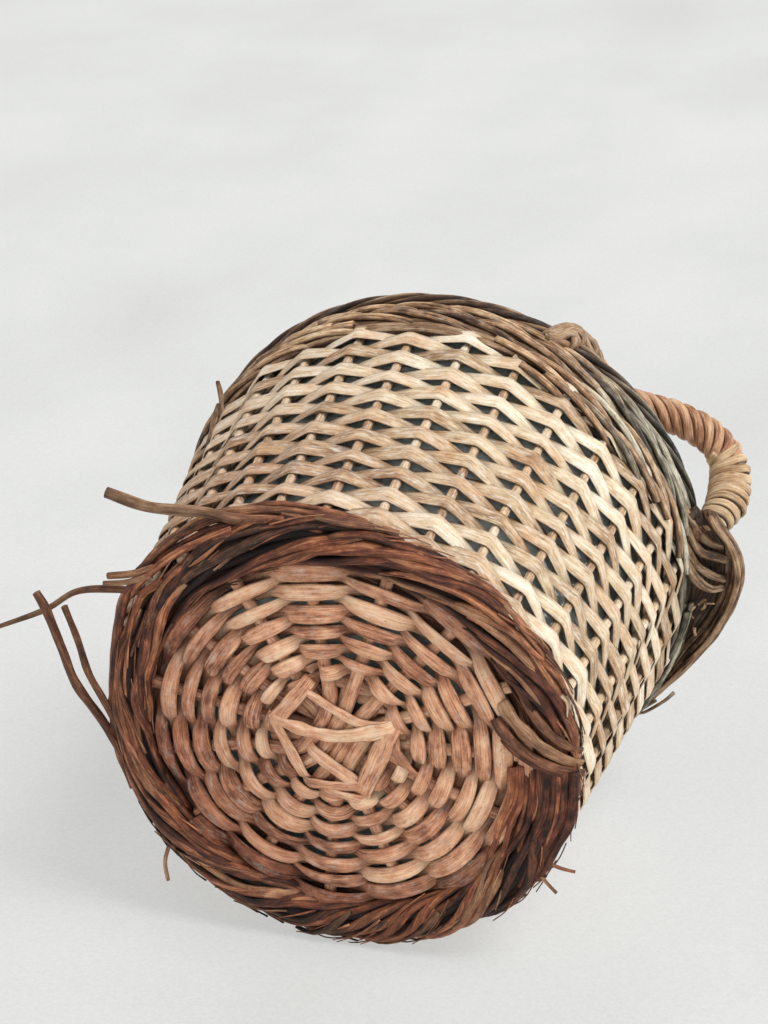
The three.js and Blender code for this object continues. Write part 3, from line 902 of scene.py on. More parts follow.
# Thin rods beside the border where it is worn, and stubs: points, diameter, tone, tint
LEFT_RODS = [
    ([(-80, -98, 9), (-96, -86, 8), (-112, -47.6, 7), (-123, -2.3, 7), (-121, 30, 8)], 4.4, 0.25, 0.1),
    ([(-74, -94, 6), (-90, -82, 5), (-107.4, -36.7, 4), (-116, 11.9, 5), (-112, 40, 6)], 4.0, 0.6, 0.0),
    ([(-70, -88, 5), (-82, -74, 4), (-99.6, -37.2, 3), (-109, 5.2, 4), (-105, 34, 5)], 4.6, 0.4, 0.2),
    ([(-86, -97, 12), (-103, -78, 10), (-119.3, -28.5, 9), (-124, 8, 10), (-118, 38, 10)], 3.2, 0.75, 0.5),
    ([(-78, -101, 8), (-91.6, -97, 9), (-105.1, -95.7, 10)], 4.2, 0.7, 0.6),
    ([(-80, -97, 7), (-94, -93, 8), (-108, -92, 9)], 3.4, 0.6, 0.9),
    ([(-108, 66, 6), (-112.1, 75.6, 5), (-113.1, 87.2, 5)], 2.6, 0.7, 0.9),
    ([(93, 80, 4), (97, 86, 3), (101, 92, 3)], 2.2, 0.5, 0.6),
    ([(99, 74, 4), (106, 77, 3), (113, 79, 3)], 2.0, 0.4, 0.3),
    ([(40, -117, 12), (4, -126, 13), (-32, -126, 13), (-62, -116, 12), (-88, -98, 10)], 4.6, 0.3, 0.3),
    ([(20, -119, 9), (-14, -128, 14), (-46, -124, 17), (-76, -108, 15), (-98, -86, 12)], 4.0, 0.7, 0.6),
    ([(52, -112, 14), (20, -124, 16), (-10, -129, 18), (-34, -126, 18)], 3.2, 0.5, 0.2),
    ([(-8, -124, 8), (-40, -121, 10), (-72, -106, 12), (-97, -87, 14)], 3.6, 0.2, 0.0),
    ([(-30, -122, 5), (-62, -110, 6), (-88, -92, 8), (-104, -76, 11)], 4.8, 0.6, 0.1),
]
# Flat weathered splits across the border at the right: width, tone, tint, points
GREY_SPLITS = [
    (6.2, 0.35, 0.5, (101, -32, 6), (106, -16, 3), (113, -4, 2.2), (120, 5, 5), (125, 11, 10)),
    (
        8.2, 0.8, 0.8,
        (91, -22, 4), (95.5, -13, 2), (103.5, -2, 1.2), (111, 6, 1.6), (119, 13, 4), (124, 18, 9),
    ),
    (7.0, 0.3, 0.35, (86, -12, 4), (91, -3, 2), (99.5, 7, 1.6), (109.8, 14.5, 2), (119, 20, 5), (124, 24, 9)),
    (5.4, 0.15, 0.1, (88, 0, 5), (94, 7, 3), (103, 14, 2.4), (112, 19.5, 3), (120, 24.5, 7)),
]
CUT_SPLITS = 13


def lay_table():
    """How many times the rods have wound round the border at each degree, from -180 degrees on."""
    turns = [0.0]
    for degree in range(-180, 180):
        turns.append(turns[-1] + read_off(BORDER_LAY, degree) / 360)
    return turns


LAY_TURNS = lay_table()


def lay_phase(azimuth):
    """How far a rod of the border has wound round it at an azimuth, in radians."""
    rounds, degree = divmod(azimuth + 180, 360)
    index = int(degree)
    share = degree - index
    turned = blend(LAY_TURNS[index], LAY_TURNS[index + 1], share)
    return 2 * math.pi * (turned + rounds * LAY_TURNS[-1])


def foot_place(phase, azimuth, swell=1.0):
    """A place in the roll of the border: phase goes round its section."""
    outside = read_off(BORDER_OUTSIDE, wrap(azimuth))
    middle = (outside + BORDER_INSIDE) / 2
    across = (outside - BORDER_INSIDE) / 2 - BORDER_ROD_HALF
    worn = WORN * math.exp(-(((wrap(azimuth) - WORN_AZIMUTH) / WORN_SPREAD) ** 2))
    z = BORDER_HEIGHT + worn + BORDER_SWING * swell * math.sin(phase)
    return spot(middle + across * swell * math.cos(phase), azimuth, z)


def border_rod(piece, dice, start, span, phase, diameter, swell, tint, flat):
    """One length of a border rod, with slim, frayed and lighter ends."""
    sway = wander(dice, 0.3, 40)
    rise = wander(dice, 0.1, 30)
    path, outs, sizes, tucks, tints = [], [], [], [], []
    steps = max(6, int(span / BORDER_STEP))
    tone = dice.random()
    for i in range(steps + 1):
        here = start + span * i / steps
        from_end = min(i, steps - i) * span / steps
        end_share = min(1.0, from_end / FRAYED_END)
        turned = lay_phase(here) + phase + sway(here)
        out_now = swell + rise(here) + 0.1 * (1 - end_share)
        place = foot_place(turned, here, out_now)
        outs.append(place - foot_place(0, here, 0.0))
        half = diameter * 0.5 * (0.5 + 0.5 * end_share) * (1 + 0.5 * rise(here * 1.7))
        place.z = max(place.z, half / flat)
        path.append(place)
        sizes.append((half * flat, half / flat))
        tucks.append(0.2 + 0.2 * math.sin(here * 0.31 + phase * 3))
        tints.append(min(1.0, tint + 0.6 * (1 - end_share)))
    add_strand(piece, places_along(path, outs, sizes), tone, 8, tucks, tints, crease=1.1)


def foot_border(material):
    """Rods laid round each other, in lengths that overlap, with loose and broken ends."""
    dice = random.Random(21)
    piece = new_piece()
    for n in range(BORDER_RODS):
        phase = 2 * math.pi * n / BORDER_RODS
        azimuth = dice.uniform(0, 360)
        stop = azimuth + 368
        while azimuth < stop:
            span = dice.uniform(45, 150)
            diameter = dice.uniform(4.2, 6.0)
            swell = dice.uniform(0.88, 1.06)
            tint = dice.choice([0, 0, 0, 0.2, 0.5])
            border_rod(piece, dice, azimuth, span, phase, diameter, swell, tint, flat=1.15)
            azimuth += span - dice.uniform(3, 10)
    for _ in range(LOOSE_RODS):
        span = dice.uniform(14, 60)
        diameter = dice.uniform(2.2, 4.2)
        swell = dice.uniform(1.1, 1.3)
        start = dice.uniform(0, 360)
        phase = dice.uniform(0, 6.28)
        tint = dice.choice([0, 0.1, 0.4, 0.9])
        border_rod(piece, dice, start, span, phase, diameter, swell, tint, flat=1.3)
    add_border_core(piece)
    add_foot_splinters(piece, dice)
    add_left_rods(piece)
    add_grey_splits(piece)
    names = [f"foot_border_rod_{n}" for n in (1, 2, 3, 4)]
    return finish_piece(piece, "foot_border", material, names)


def add_border_core(piece):
    """Rods in the middle of the roll, that close its gaps, painted near black as the shade in them."""
    for n in range(CORE_RODS):
        path = []
        for azimuth in range(0, 361, 3):
            phase = 5 * math.radians(azimuth) + n * 2 * math.pi / CORE_RODS
            path.append(foot_place(phase, azimuth, 0.42))
        places = places_along(path, [UP] * len(path), [(3.1, 3.1)] * len(path))
        add_strand(piece, places, 0.05 * n, tucks=0.95)


def add_foot_splinters(piece, dice):
    """Fine splits of bark that stand off the border."""
    for _ in range(SPLINTERS):
        azimuth = dice.uniform(0, 360)
        phase = dice.uniform(math.pi * 0.92, math.pi * 2.25)
        length = dice.uniform(8, 30)
        turn = math.degrees(length / 114)
        lean = lay_phase(azimuth + turn) - lay_phase(azimuth)
        points = [
            foot_place(phase, azimuth, 1.3),
            foot_place(phase + lean * 0.5, azimuth + turn * 0.5, 1.38),
            foot_place(phase + lean, azimuth + turn, 1.36 + dice.uniform(0.0, 0.2)),
        ]
        path = smooth_path(points, 4)
        out = points[1] - foot_place(0, azimuth, 0.0)
        sizes = [(blend(0.9, 0.25, i / (len(path) - 1)), 0.35) for i in range(len(path))]
        places = places_along(path, [out] * len(path), sizes)
        add_strand(piece, places, dice.random(), 5, tint=dice.choice([0, 0.2, 0.8]))


def add_left_rods(piece):
    """Straight thin rods beside the border where it is worn, and stubs that stand out of it."""
    for points, diameter, tone, tint in LEFT_RODS:
        path = smooth_path(points_of(points), 3)
        add_rod(piece, path, diameter, tone, tint=tint, rough=0.12, taper=(1.0, 0.8))


def add_grey_splits(piece):
    """Flat weathered splits that cross the border at the right, over the cut tops of reddish ones."""
    for width, tone, tint, *points in GREY_SPLITS:
        widths = (width, width * 0.8)
        flat_strip(piece, points_of(points), widths, tone, thickness=3.0, spacing=2.5, tint=tint)
    dice = random.Random(29)
    for n in range(CUT_SPLITS):
        share = (n + dice.uniform(-0.3, 0.3)) / (CUT_SPLITS - 1)
        radius = blend(91, 123, share)
        lift = dice.uniform(-0.8, 1.6)
        points = [
            spot(radius, 9.5 + dice.uniform(-1.5, 1.5), 4.4 + lift),
            spot(radius + 2, 21, 2.0 + lift),
            spot(radius + dice.uniform(0, 4), 31, 2.2 + lift),
            spot(min(125, radius + dice.uniform(2, 9)), 42 + dice.uniform(-5, 6), 4.6 + lift),
        ]
        width = dice.uniform(3.4, 6.0)
        tone = dice.uniform(0.0, 0.85)
        tint = dice.choice([0, 0, 0.15])
        flat_strip(piece, points, (width, width * 0.7), tone, thickness=3.0, spacing=2.5, tint=tint)


# Side

STAKE_LEVELS = [8, 30, 60, 95, 130, 165, 190, 203, 211, 218]
BENT_LEVELS = [218, 224, 232, 245, 260, 276, 294, 310, 322]
# The band presses the stakes in between two heights, by so much
PRESSED_BETWEEN = (188, 215)
PRESSED = 1.5

# The spiral of the side: its heights and pitch, the width of its skeins, and how far they reach outside
# and inside the middle of the stakes
SIDE_LOW = 20.0
SIDE_HIGH = 193.5
SIDE_PITCH = 9.5
SIDE_SKEIN = 12.6
SIDE_REACH = 3.6
# Its first skein starts a round and two stakes before the low height
SIDE_START = -31

# The spiral of the cape, its width and reach at its foot and at the neck
CAPE_LOW = 219
CAPE_HIGH = 322
CAPE_ROUNDS = 18
CAPE_SKEIN = (9.2, 4.8)
CAPE_REACH = (3.1, 2.5)


def stake_azimuth(k):
    """The azimuth of stake k, or of a place between two stakes."""
    return STAKE_START + STAKE_STEP * k


def side_stakes(material):
    """Upright rods from the border up to the band, and on as bent ends over the shoulder to the neck."""
    dice = random.Random(31)
    upright, bent = new_piece(), new_piece()
    parts = ((upright, STAKE_LEVELS, (1.02, 0.98)), (bent, BENT_LEVELS, (0.98, 0.76)))
    for k in range(STAKES):
        sway = wander(dice, 0.35, 70)
        tone = dice.random()
        tint = dice.uniform(0, 0.3)
        out = spot(1, stake_azimuth(k), 0)
        for part, levels, taper in parts:
            points = []
            for z in levels:
                pressed = PRESSED if PRESSED_BETWEEN[0] < z < PRESSED_BETWEEN[1] else 0.0
                radius, height = off_glass(z, GLASS_TO_MIDDLE - pressed)
                points.append(spot(radius, stake_azimuth(k) + sway(z) * 0.25, height))
            path = smooth_path(points, 7)
            add_rod(part, path, STAKE, tone, out, taper, sides=10, tint=tint, crease=0.5)
    names = [f"side_stake_{n + 1:02d}" for n in range(STAKES)]
    finish_piece(bent, "bent_stakes", material, ["cape_weave"])
    return finish_piece(upright, "stakes", material, names)


def woven_skeins(piece, dice, first, crossings, lean_at, middle_at, reach_at, width_at, lengths, tint=0.0):
    """Flat skeins in one spiral round the stakes, creased over each front.

    A skein lies reach outside the middle of one stake and inside the middle of the next, its face
    tipped by lean, and the count of stakes that it passes is twice a random number within lengths.
    """
    start = first
    while start < crossings:
        stop = min(start + 2 * dice.randint(*lengths), crossings)
        tone = dice.random()
        wide = dice.uniform(0.86, 1.14)
        slip = wander(dice, 0.55, 9)
        twist = wander(dice, 0.10, 6)
        path, outs, sizes, rolls, tucks = [], [], [], [], []
        for k in range(start, stop + 1):
            front = k % 2 == 0
            side = 1.0 if front else -1.0
            jog = dice.uniform(-0.35, 0.35)
            half_stroke = (1.2 if front else 2.2) / (middle_at(k)[0] * math.radians(STAKE_STEP))
            # Painted shade where the skein passes behind a stake
            tuck = 0.0 if front else 0.5
            places = [(k - half_stroke, side, jog, 1.0, tuck), (k + half_stroke, side, jog, 1.0, tuck)]
            if k < stop:
                places.append((k + 0.5, 0.0, 0.0, 0.92, 0.0))
            for here, side_now, jog_now, narrowed, tuck_now in places:
                middle, height = middle_at(here)
                radius = middle + side_now * reach_at(here)
                path.append(spot(radius, stake_azimuth(here), height + slip(here) + jog_now))
                outs.append(spot(1, stake_azimuth(here), 0) + Vector((0, 0, lean_at(here))))
                sizes.append((0.5 * width_at(here) * wide * narrowed, SKEIN / 2))
                rolls.append(twist(here))
                tucks.append(tuck_now)
        own_tint = max(0.0, tint + dice.uniform(-0.2, 0.25))
        add_strand(piece, places_along(path, outs, sizes, rolls), tone, 8, tucks, own_tint)
        start = stop


def side_weave(material):
    """The skeins of the side, up to the foot of the band."""
    dice = random.Random(41)
    piece = new_piece()
    crossings = int((SIDE_HIGH - SIDE_LOW) / SIDE_PITCH * STAKES)

    def middle_at(k):
        z = SIDE_LOW + SIDE_PITCH * k / STAKES
        return wall_radius(z) - SKEIN - STAKE / 2, z

    def lean_at(k):
        return -WALL_FLARE

    def reach_at(k):
        return SIDE_REACH

    def width_at(k):
        return SIDE_SKEIN

    woven_skeins(piece, dice, SIDE_START, crossings, lean_at, middle_at, reach_at, width_at, (10, 22))
    return finish_piece(piece, "side_weave_skeins", material, ["side_weave"])


def cape_weave(material):
    """The skeins over the shoulder, closer together towards the neck."""
    dice = random.Random(43)
    piece = new_piece()
    crossings = CAPE_ROUNDS * STAKES

    def glass_height(k):
        share = max(0.0, k / crossings)
        return blend(CAPE_LOW, CAPE_HIGH, share**0.96)

    def middle_at(k):
        return off_glass(glass_height(k), GLASS_TO_MIDDLE + 0.2)

    def lean_at(k):
        return -glass_slope(glass_height(k))

    def reach_at(k):
        return blend(*CAPE_REACH, k / crossings)

    def width_at(k):
        return blend(*CAPE_SKEIN, k / crossings)

    woven_skeins(piece, dice, -1, crossings, lean_at, middle_at, reach_at, width_at, (14, 24), tint=0.2)
    return finish_piece(piece, "cape_weave_skeins", material, ["cape_weave"])


# Shoulder band

# Rows of the band: height, half the rise of a stroke, and the azimuths where it starts and stops
BAND_RANKS = [
    (215.0, 6.0, -360, 2),
    (204.0, 6.0, -343, 2),
    (196.5, 4.5, -343, -96),
    (192.5, 6.0, -66, 1),
    (181.5, 6.0, -55, -12),
]
BAND_LOWER_ROWS = 195
BACKING_RODS = 8
BACKING_FOOT = 193.5
BACKING_PITCH = 4.0
# The stakes that the backing rods start and stop at
BACKING_FIRST = -9.0
BACKING_LAST = STAKES - 14.6
# The ends of the broken rows, that turn outwards
TURNED_ENDS = [
    [
        (131, -46, 205), (139.7, -22, 203), (146, -9.3, 202),
        (151, 4.6, 203), (160, 10.4, 205), (165, 14.3, 208),
    ],
    [
        (133, -38, 198), (140, -18, 198), (143.5, -4.1, 198),
        (148, 10.9, 200), (156, 19.9, 202), (162, 25, 206),
    ],
    [
        (134, -30, 192), (141, -10, 193), (144, 5.4, 195),
        (149, 19.3, 196), (155.3, 27, 199), (160.9, 29, 204),
    ],
    [(138, -30, 210), (146, -14, 209), (151, -3, 209), (157, 4, 209), (164, 8, 212)],
]
# The bundle that has sprung out of the band, seen from above, and the height of its middle
BUNDLE = [(160, -13), (164, -8.9), (170.6, 4.4), (172, 22), (165, 41)]
BUNDLE += [(152.5, 60), (139, 74.7), (124, 88.8), (108, 102)]
BUNDLE_HEIGHT = 206
# Its rods: how far outside its middle, how far above, diameter, tone
BUNDLE_RODS = [
    (0.0, 0.0, 4.2, 0.35),
    (-3.8, 1.5, 4.4, 0.15),
    (-1.6, -3.8, 3.8, 0.6),
    (-7.5, 3.4, 5.2, 0.1),
]
# The rods between it and the band, painted dark as the shade there: each lies further in and lower than the
# one before
BUNDLE_FILLERS = 8
FILLER_START = (149, -6)
FILLER_GAP = 8.5
FILLER_PITCH = 2.7
FILLER_INSIDE = 146.5
FILLER_TOP = 212.5
FILLER_DROP = 0.4
DAMAGE_SPLINTERS = 7
# Thin twigs that stand out of the band behind the damage
TWIGS = [
    [(98, 110, 204), (105, 109, 203), (118, 101, 202), (124.5, 95.6, 202)],
    [(99, 108, 200), (103.7, 105.5, 200), (114, 99, 200)],
]
# Ends of rods that hang from the band at the left, with their diameters
HANGING_ENDS = [
    ([(-107.1, -113, 201), (-103.5, -108.5, 193), (-101.5, -101, 184), (-100, -95, 174)], 2.8),
    ([(-103, -106, 186), (-103.5, -99, 172), (-102.5, -92, 155), (-100, -90, 142)], 3.0),
]


def band_place(height_up, azimuth, push):
    """A place on the band, push outside the middle of the stakes."""
    radius, height = off_glass(height_up, GLASS_TO_MIDDLE + push)
    return spot(radius, azimuth, height)


def band_stroke(phase, half_rise):
    """How far outside the stakes a rod lies, and how high: two stakes in front, then one behind."""
    if phase < 2.0:
        push = 4.9 * math.sin(math.pi * phase / 2.0) ** 0.4
        return push, blend(half_rise, -half_rise, phase / 2.0)
    push = -1.6 * math.sin(math.pi * (phase - 2.0))
    return push, blend(-half_rise, half_rise, phase - 2.0)


def band_rod(piece, dice, height, half_rise, rod, start, stop):
    """One rod of a row, from one stake to another, in long slanting strokes."""
    tone = dice.random()
    diameter = dice.uniform(4.0, 5.0)
    sway = wander(dice, 0.4, 3)
    path, outs, tucks = [], [], []
    steps = int((stop - start) * 7)
    for i in range(steps + 1):
        k = blend(start, stop, i / steps)
        push, rise = band_stroke((k - rod) % 3.0, half_rise)
        path.append(band_place(height + rise + sway(k), stake_azimuth(k), push))
        outs.append(spot(1, stake_azimuth(k), 0))
        # Painted shade, the deeper the further the rod lies behind the stakes
        tucks.append(max(0.0, 0.8 - push * 0.2))
    sizes = [(diameter / 2, diameter / 2)] * len(path)
    tint = -0.8 if height < BAND_LOWER_ROWS and rod else dice.choice([0, 0, 0.1])
    add_strand(piece, places_along(path, outs, sizes), tone, 8, tucks, tint, crease=1.2)


def shoulder_band(material):
    """Rows of three rods each, the gaps between them closed by rods behind, darkened as painted shade."""
    dice = random.Random(51)
    piece = new_piece()
    for height, half_rise, first, last in BAND_RANKS:
        for rod in range(3):
            start = (first - STAKE_START) / STAKE_STEP + dice.uniform(-0.3, 0.5)
            stop = (last - STAKE_START) / STAKE_STEP + dice.uniform(-0.4, 0.5)
            if first == -360:
                start -= 2.2
            while start < stop - 0.5:
                end = min(start + dice.uniform(6, 12), stop)
                band_rod(piece, dice, height, half_rise, rod, start, end)
                start = end
    add_backing_rods(piece, dice)
    add_band_damage(piece, dice)
    names = ["shoulder_band_lower", "shoulder_band_middle", "shoulder_band_upper"]
    return finish_piece(piece, "shoulder_band", material, names)


def add_backing_rods(piece, dice):
    """Rods behind the band, darkened as painted shade."""
    steps = 90
    for n in range(BACKING_RODS):
        height = BACKING_FOOT + BACKING_PITCH * n
        sway = wander(dice, 0.8, 5)
        stakes = [blend(BACKING_FIRST, BACKING_LAST, i / steps) for i in range(steps + 1)]
        path = [band_place(height + sway(k), stake_azimuth(k), 1.2) for k in stakes]
        outs = [spot(1, math.degrees(math.atan2(p.y, p.x)), 0) for p in path]
        places = places_along(path, outs, [(2.4, 2.4)] * len(path))
        add_strand(piece, places, dice.uniform(0.2, 0.7), tucks=0.45 if n < 2 else 0.8, crease=1.2)


def add_bundle(piece, outward):
    """The bundle of rods that has sprung out of the band, with rods between it and the band painted dark as
    shade.
    """
    for shift, rise, diameter, tone in BUNDLE_RODS:
        points = []
        for n, (x, y) in enumerate(BUNDLE):
            reach = math.hypot(x, y) + shift * (1.0 if 2 < n < 7 else 0.6)
            start_rise = 5 if n == 0 else 0
            points.append(spot(reach, math.degrees(math.atan2(y, x)), BUNDLE_HEIGHT + rise + start_rise))
        path = smooth_path(points, 4)
        add_rod(piece, path, diameter, tone, outward, tint=-1.1, rough=0.1, tucks=0.42, crease=0.7)
    for n in range(BUNDLE_FILLERS):
        points = [spot(*FILLER_START, FILLER_TOP + 0.5 - FILLER_DROP * n)]
        for x, y in BUNDLE[2:8]:
            reach = max(FILLER_INSIDE, math.hypot(x, y) - FILLER_GAP - FILLER_PITCH * n)
            points.append(spot(reach, math.degrees(math.atan2(y, x)), FILLER_TOP - FILLER_DROP * n))
        # These rods are darkened as painted shade
        add_rod(piece, smooth_path(points, 4), 6.2, 0.1, UP, tint=-0.8, tucks=0.85, rough=0.12)


def add_band_damage(piece, dice):
    """Where the band is broken: turned ends, a sprung bundle outside it, splinters and twigs."""
    outward = spot(0.6, 20, -0.8)
    add_bundle(piece, outward)
    for points in TURNED_ENDS:
        path = smooth_path(points_of(points), 2.5)
        tone = dice.uniform(0.2, 0.8)
        add_rod(
            piece,
            path,
            5.8,
            tone,
            outward,
            taper=(1.0, 0.86),
            sides=10,
            tint=-0.75,
            tucks=0.22,
            rough=0.12,
            crease=1.0,
        )
    for _ in range(DAMAGE_SPLINTERS):
        start = spot(dice.uniform(148, 155), dice.uniform(13, 20), dice.uniform(198, 204))
        reach = Vector((dice.uniform(-2, 7), dice.uniform(-6, 4), dice.uniform(-3, 3)))
        bend = Vector((dice.uniform(-0.6, 0.6), dice.uniform(-0.6, 0.6), dice.uniform(-0.6, 0.6)))
        path = smooth_path([start, start + reach * 0.5 + bend, start + reach], 2.5)
        diameter = dice.uniform(0.9, 2.0)
        tone = dice.uniform(0.4, 1.0)
        add_rod(piece, path, diameter, tone, rough=0.14, tint=-1.5, tucks=0.15)
    for points in TWIGS:
        path = smooth_path(points_of(points), 3)
        add_rod(piece, path, 2.2, 0.2, rough=0.1, taper=(0.7, 1.1), tint=-0.6)
    for points, diameter in HANGING_ENDS:
        path = smooth_path(points_of(points), 3)
        add_rod(piece, path, diameter, 0.35, rough=0.12, tint=-0.5, crease=0.5)


def add_twisted_ring(piece, dice, rods, rounds, radius, z, swing, half, steps):
    """Rods laid round each other in a closed ring: how many, and how often they wind round it."""
    for n in range(rods):
        path = []
        for i in range(steps):
            azimuth = i * 360 / steps
            phase = rounds * math.radians(azimuth) + n * 2 * math.pi / rods
            path.append(spot(radius + swing * math.cos(phase), azimuth, z + swing * math.sin(phase)))
        places = places_along(path, [UP] * steps, [(half, half)] * steps, closed=True)
        add_strand(piece, places, dice.random(), 8, closed=True)


def top_border(material):
    """The rolled border over the band, four rods laid round each other."""
    piece = new_piece()
    dice = random.Random(57)
    add_twisted_ring(piece, dice, rods=4, rounds=9, radius=144.5, z=226.3, swing=2.2, half=2.0, steps=240)
    return finish_piece(piece, "top_border_roll", material, ["top_border"])


def neck_collar(material):
    """The twist of three rods round the foot of the neck, as wide and as high as the solid's."""
    piece = new_piece()
    low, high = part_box("neck_collar")
    z = (low.z + high.z) / 2 / MM
    radius = high.x / MM - 4.2
    dice = random.Random(59)
    add_twisted_ring(piece, dice, rods=3, rounds=6, radius=radius, z=z, swing=2.0, half=2.1, steps=108)
    return finish_piece(piece, "neck_twist", material, ["neck_collar"])


# Handles

# The middle line of a bow from its near end: shares of half its span, its rise and its lean outwards
BOW = [
    (1, 0, 0),
    (0.985, 0.33, 0.35),
    (0.94, 0.62, 0.75),
    (0.81, 0.85, 1),
    (0.62, 0.97, 0.8),
    (0.39, 1, 0.2),
    (0.19, 0.97, -0.4),
    (-0.01, 0.88, -0.95),
    (-0.22, 0.77, -1.1),
    (-0.44, 0.68, -0.75),
    (-0.63, 0.59, -0.15),
    (-0.8, 0.43, 0.33),
    (-0.93, 0.23, 0.3),
    (-1, 0, 0),
]
BOW_CHORD = 142.3
BOW_SPAN = 73.5
BOW_SEAT = 206.0
BOW_RISE = 61.0
BOW_LEAN = 10.0
# How far the near foot leans in to the band, over what length, and how far in the far half lies
FOOT_LEAN = 14.5
FOOT_RUN = 30
FAR_LEAN = 9.0
# The share of the bow where its far half starts to lean in, and the share that it takes
FAR_LEAN_START = 0.34
FAR_LEAN_SPAN = 0.3

ROPE_STRANDS = 5
ROPE_LAY = 37.0
ROPE_HEART = 10.5
NEAR_WHIPPED = 70.0
NEAR_START = 9.0
NEAR_PITCH = 11.2
# Half the thickness of the rods under the near binding, by the length along the bow
NEAR_GIRTH = [(0, 4.6), (10, 5.4), (20, 7.8), (32, 10.2), (44, 11.0), (56, 10.4), (70, 8.8)]
# How far the bow is drawn in under the near binding, where, and how far to each side
NEAR_DRAWN = 2.4
NEAR_DRAWN_AT = 40
NEAR_DRAWN_SPREAD = 22
FAR_WHIPPED = 47.0
FAR_SKEINS = 11
FAR_SHORT = 12
# How far the far ends go in behind the band, over what length
FAR_SUNK = 9
FAR_SUNK_RUN = 42
# The loose turns of skein that are left of the far binding
FAR_TURN_REACH = 8.2
FAR_TURN_PITCH = 7


def bow_path(turn):
    """The middle line of a handle, with its near foot and its far half leaned in."""
    spin = Matrix.Rotation(math.radians(turn), 3, "Z")
    points = [
        spin @ Vector((BOW_CHORD + lean * BOW_LEAN, span * BOW_SPAN, BOW_SEAT + rise * BOW_RISE))
        for span, rise, lean in BOW
    ]
    path = smooth_path(points, 1.0)
    inward = spin @ Vector((-1, 0, -0.25))
    leaned = []
    for i, point in enumerate(path):
        share = min(1.0, max(0.0, (i / len(path) - FAR_LEAN_START) / FAR_LEAN_SPAN))
        foot_share = max(0.0, 1 - i / FOOT_RUN) ** 1.6
        foot = -Vector((point.x, point.y, 0)).normalized() * FOOT_LEAN * foot_share
        leaned.append(point + foot + inward * FAR_LEAN * share * share * (3 - 2 * share))
    return leaned


def wound_places(path, outward, radius_at, turns_at, start, stop, spacing, size, lead=0.0):
    """Places on a line that winds round the path between two lengths along it."""
    runs = lengths_along(path)
    wound, outs, sizes = [], [], []
    run = start
    index = 0
    while run <= stop:
        while index < len(runs) - 2 and runs[index + 1] < run:
            index += 1
        share = (run - runs[index]) / (runs[index + 1] - runs[index])
        middle = path[index].lerp(path[index + 1], share)
        along = (path[index + 1] - path[index]).normalized()
        out = (outward - along * outward.dot(along)).normalized()
        side = along.cross(out)
        angle = turns_at(run) * 2 * math.pi + lead
        arm = out * math.cos(angle) + side * math.sin(angle)
        wound.append(middle + arm * radius_at(run))
        outs.append(arm)
        sizes.append(size(run))
        run += spacing
    return places_along(wound, outs, sizes)


def nowhere(run):
    """For a core, that lies on the path and doesn't wind."""
    return 0.0


def handle_rope(material, letter, turn, seed):
    """The roped rods between the two bindings, laid round a thin heart."""
    dice = random.Random(seed)
    piece = new_piece()
    path = bow_path(turn)
    outward = spot(1, turn, 0)
    end = lengths_along(path)[-1] - FAR_WHIPPED + 4

    def laid(run):
        """How far a strand lies from the middle: at the far end the strands run into the binding."""
        full = blend(6.9, 7.4, min(1.0, max(0.0, 1 - (run - NEAR_WHIPPED) / 45)))
        return full * min(1.0, 0.3 + (end - run) / 30)

    def turns(run):
        return run / ROPE_LAY

    for n in range(ROPE_STRANDS):
        size = dice.uniform(2.75, 3.05)
        uneven = wander(dice, 0.09, 22)
        lead = n * 2 * math.pi / ROPE_STRANDS

        def half_size(run):
            return (size * (1 + uneven(run)), size * (1 + uneven(run)))

        places = wound_places(path, outward, laid, turns, NEAR_WHIPPED - 8, end, 1.4, half_size, lead)
        add_strand(piece, places, dice.uniform(0.25, 0.85), 10, crease=1.3)
    heart = [p for i, p in enumerate(path) if i % 4 == 0 and i < len(path) * 0.8]
    # The heart is darkened as painted shade between the strands
    add_rod(piece, heart, ROPE_HEART, 0.2, outward, tucks=0.6)
    nodes = [f"handle_{letter}_rope"]
    return finish_piece(piece, f"handle_{letter}_roped_rods", material, nodes)


def near_whipping(material, letter, turn, seed):
    """A full round binding, fattest in its middle and slim where it leaves the band."""
    dice = random.Random(seed)
    piece = new_piece()
    outward = spot(1, turn, 0)
    path = bow_path(turn)
    runs = lengths_along(path)
    path = [
        point - outward * NEAR_DRAWN * math.exp(-(((run - NEAR_DRAWN_AT) / NEAR_DRAWN_SPREAD) ** 2))
        for point, run in zip(path, runs)
    ]
    bulge = wander(dice, 0.5, 16)

    def radius(run):
        return read_off(NEAR_GIRTH, run) + bulge(run) * 0.5

    def turns(run):
        return run / NEAR_PITCH + 0.03 * math.sin(run * 1.3)

    def core_size(run):
        return (read_off(NEAR_GIRTH, run) - 0.6,) * 2

    for lead in (0.0, math.pi):
        uneven = wander(dice, 0.14, 13)

        def skein_size(run):
            return (2.75 * (1 + uneven(run)), 1.5)

        places = wound_places(path, outward, radius, turns, NEAR_START, NEAR_WHIPPED, 0.5, skein_size, lead)
        tone = dice.uniform(0.25, 0.7)
        add_strand(piece, places, tone, sides=10, tucks=0.05, tint=0.15, crease=1.2)
    core = wound_places(path, outward, nowhere, nowhere, 0.1, NEAR_WHIPPED, 4, core_size)
    # The core is darkened as painted shade under the skeins
    add_strand(piece, core, 0.3, sides=16, tucks=0.75)
    nodes = [f"handle_{letter}_whipping_near"]
    return finish_piece(piece, f"handle_{letter}_binding_near", material, nodes)


def sunk_path(path, outward):
    """The path without its last piece, its end gone in behind the band."""
    runs = lengths_along(path)
    whole = runs[-1] - FAR_SHORT
    sunk = []
    for point, run in zip(path, runs):
        share = max(0.0, (run - whole + FAR_SUNK_RUN) / FAR_SUNK_RUN)
        if run <= whole:
            sunk.append(point - outward * FAR_SUNK * share**1.6)
    return sunk


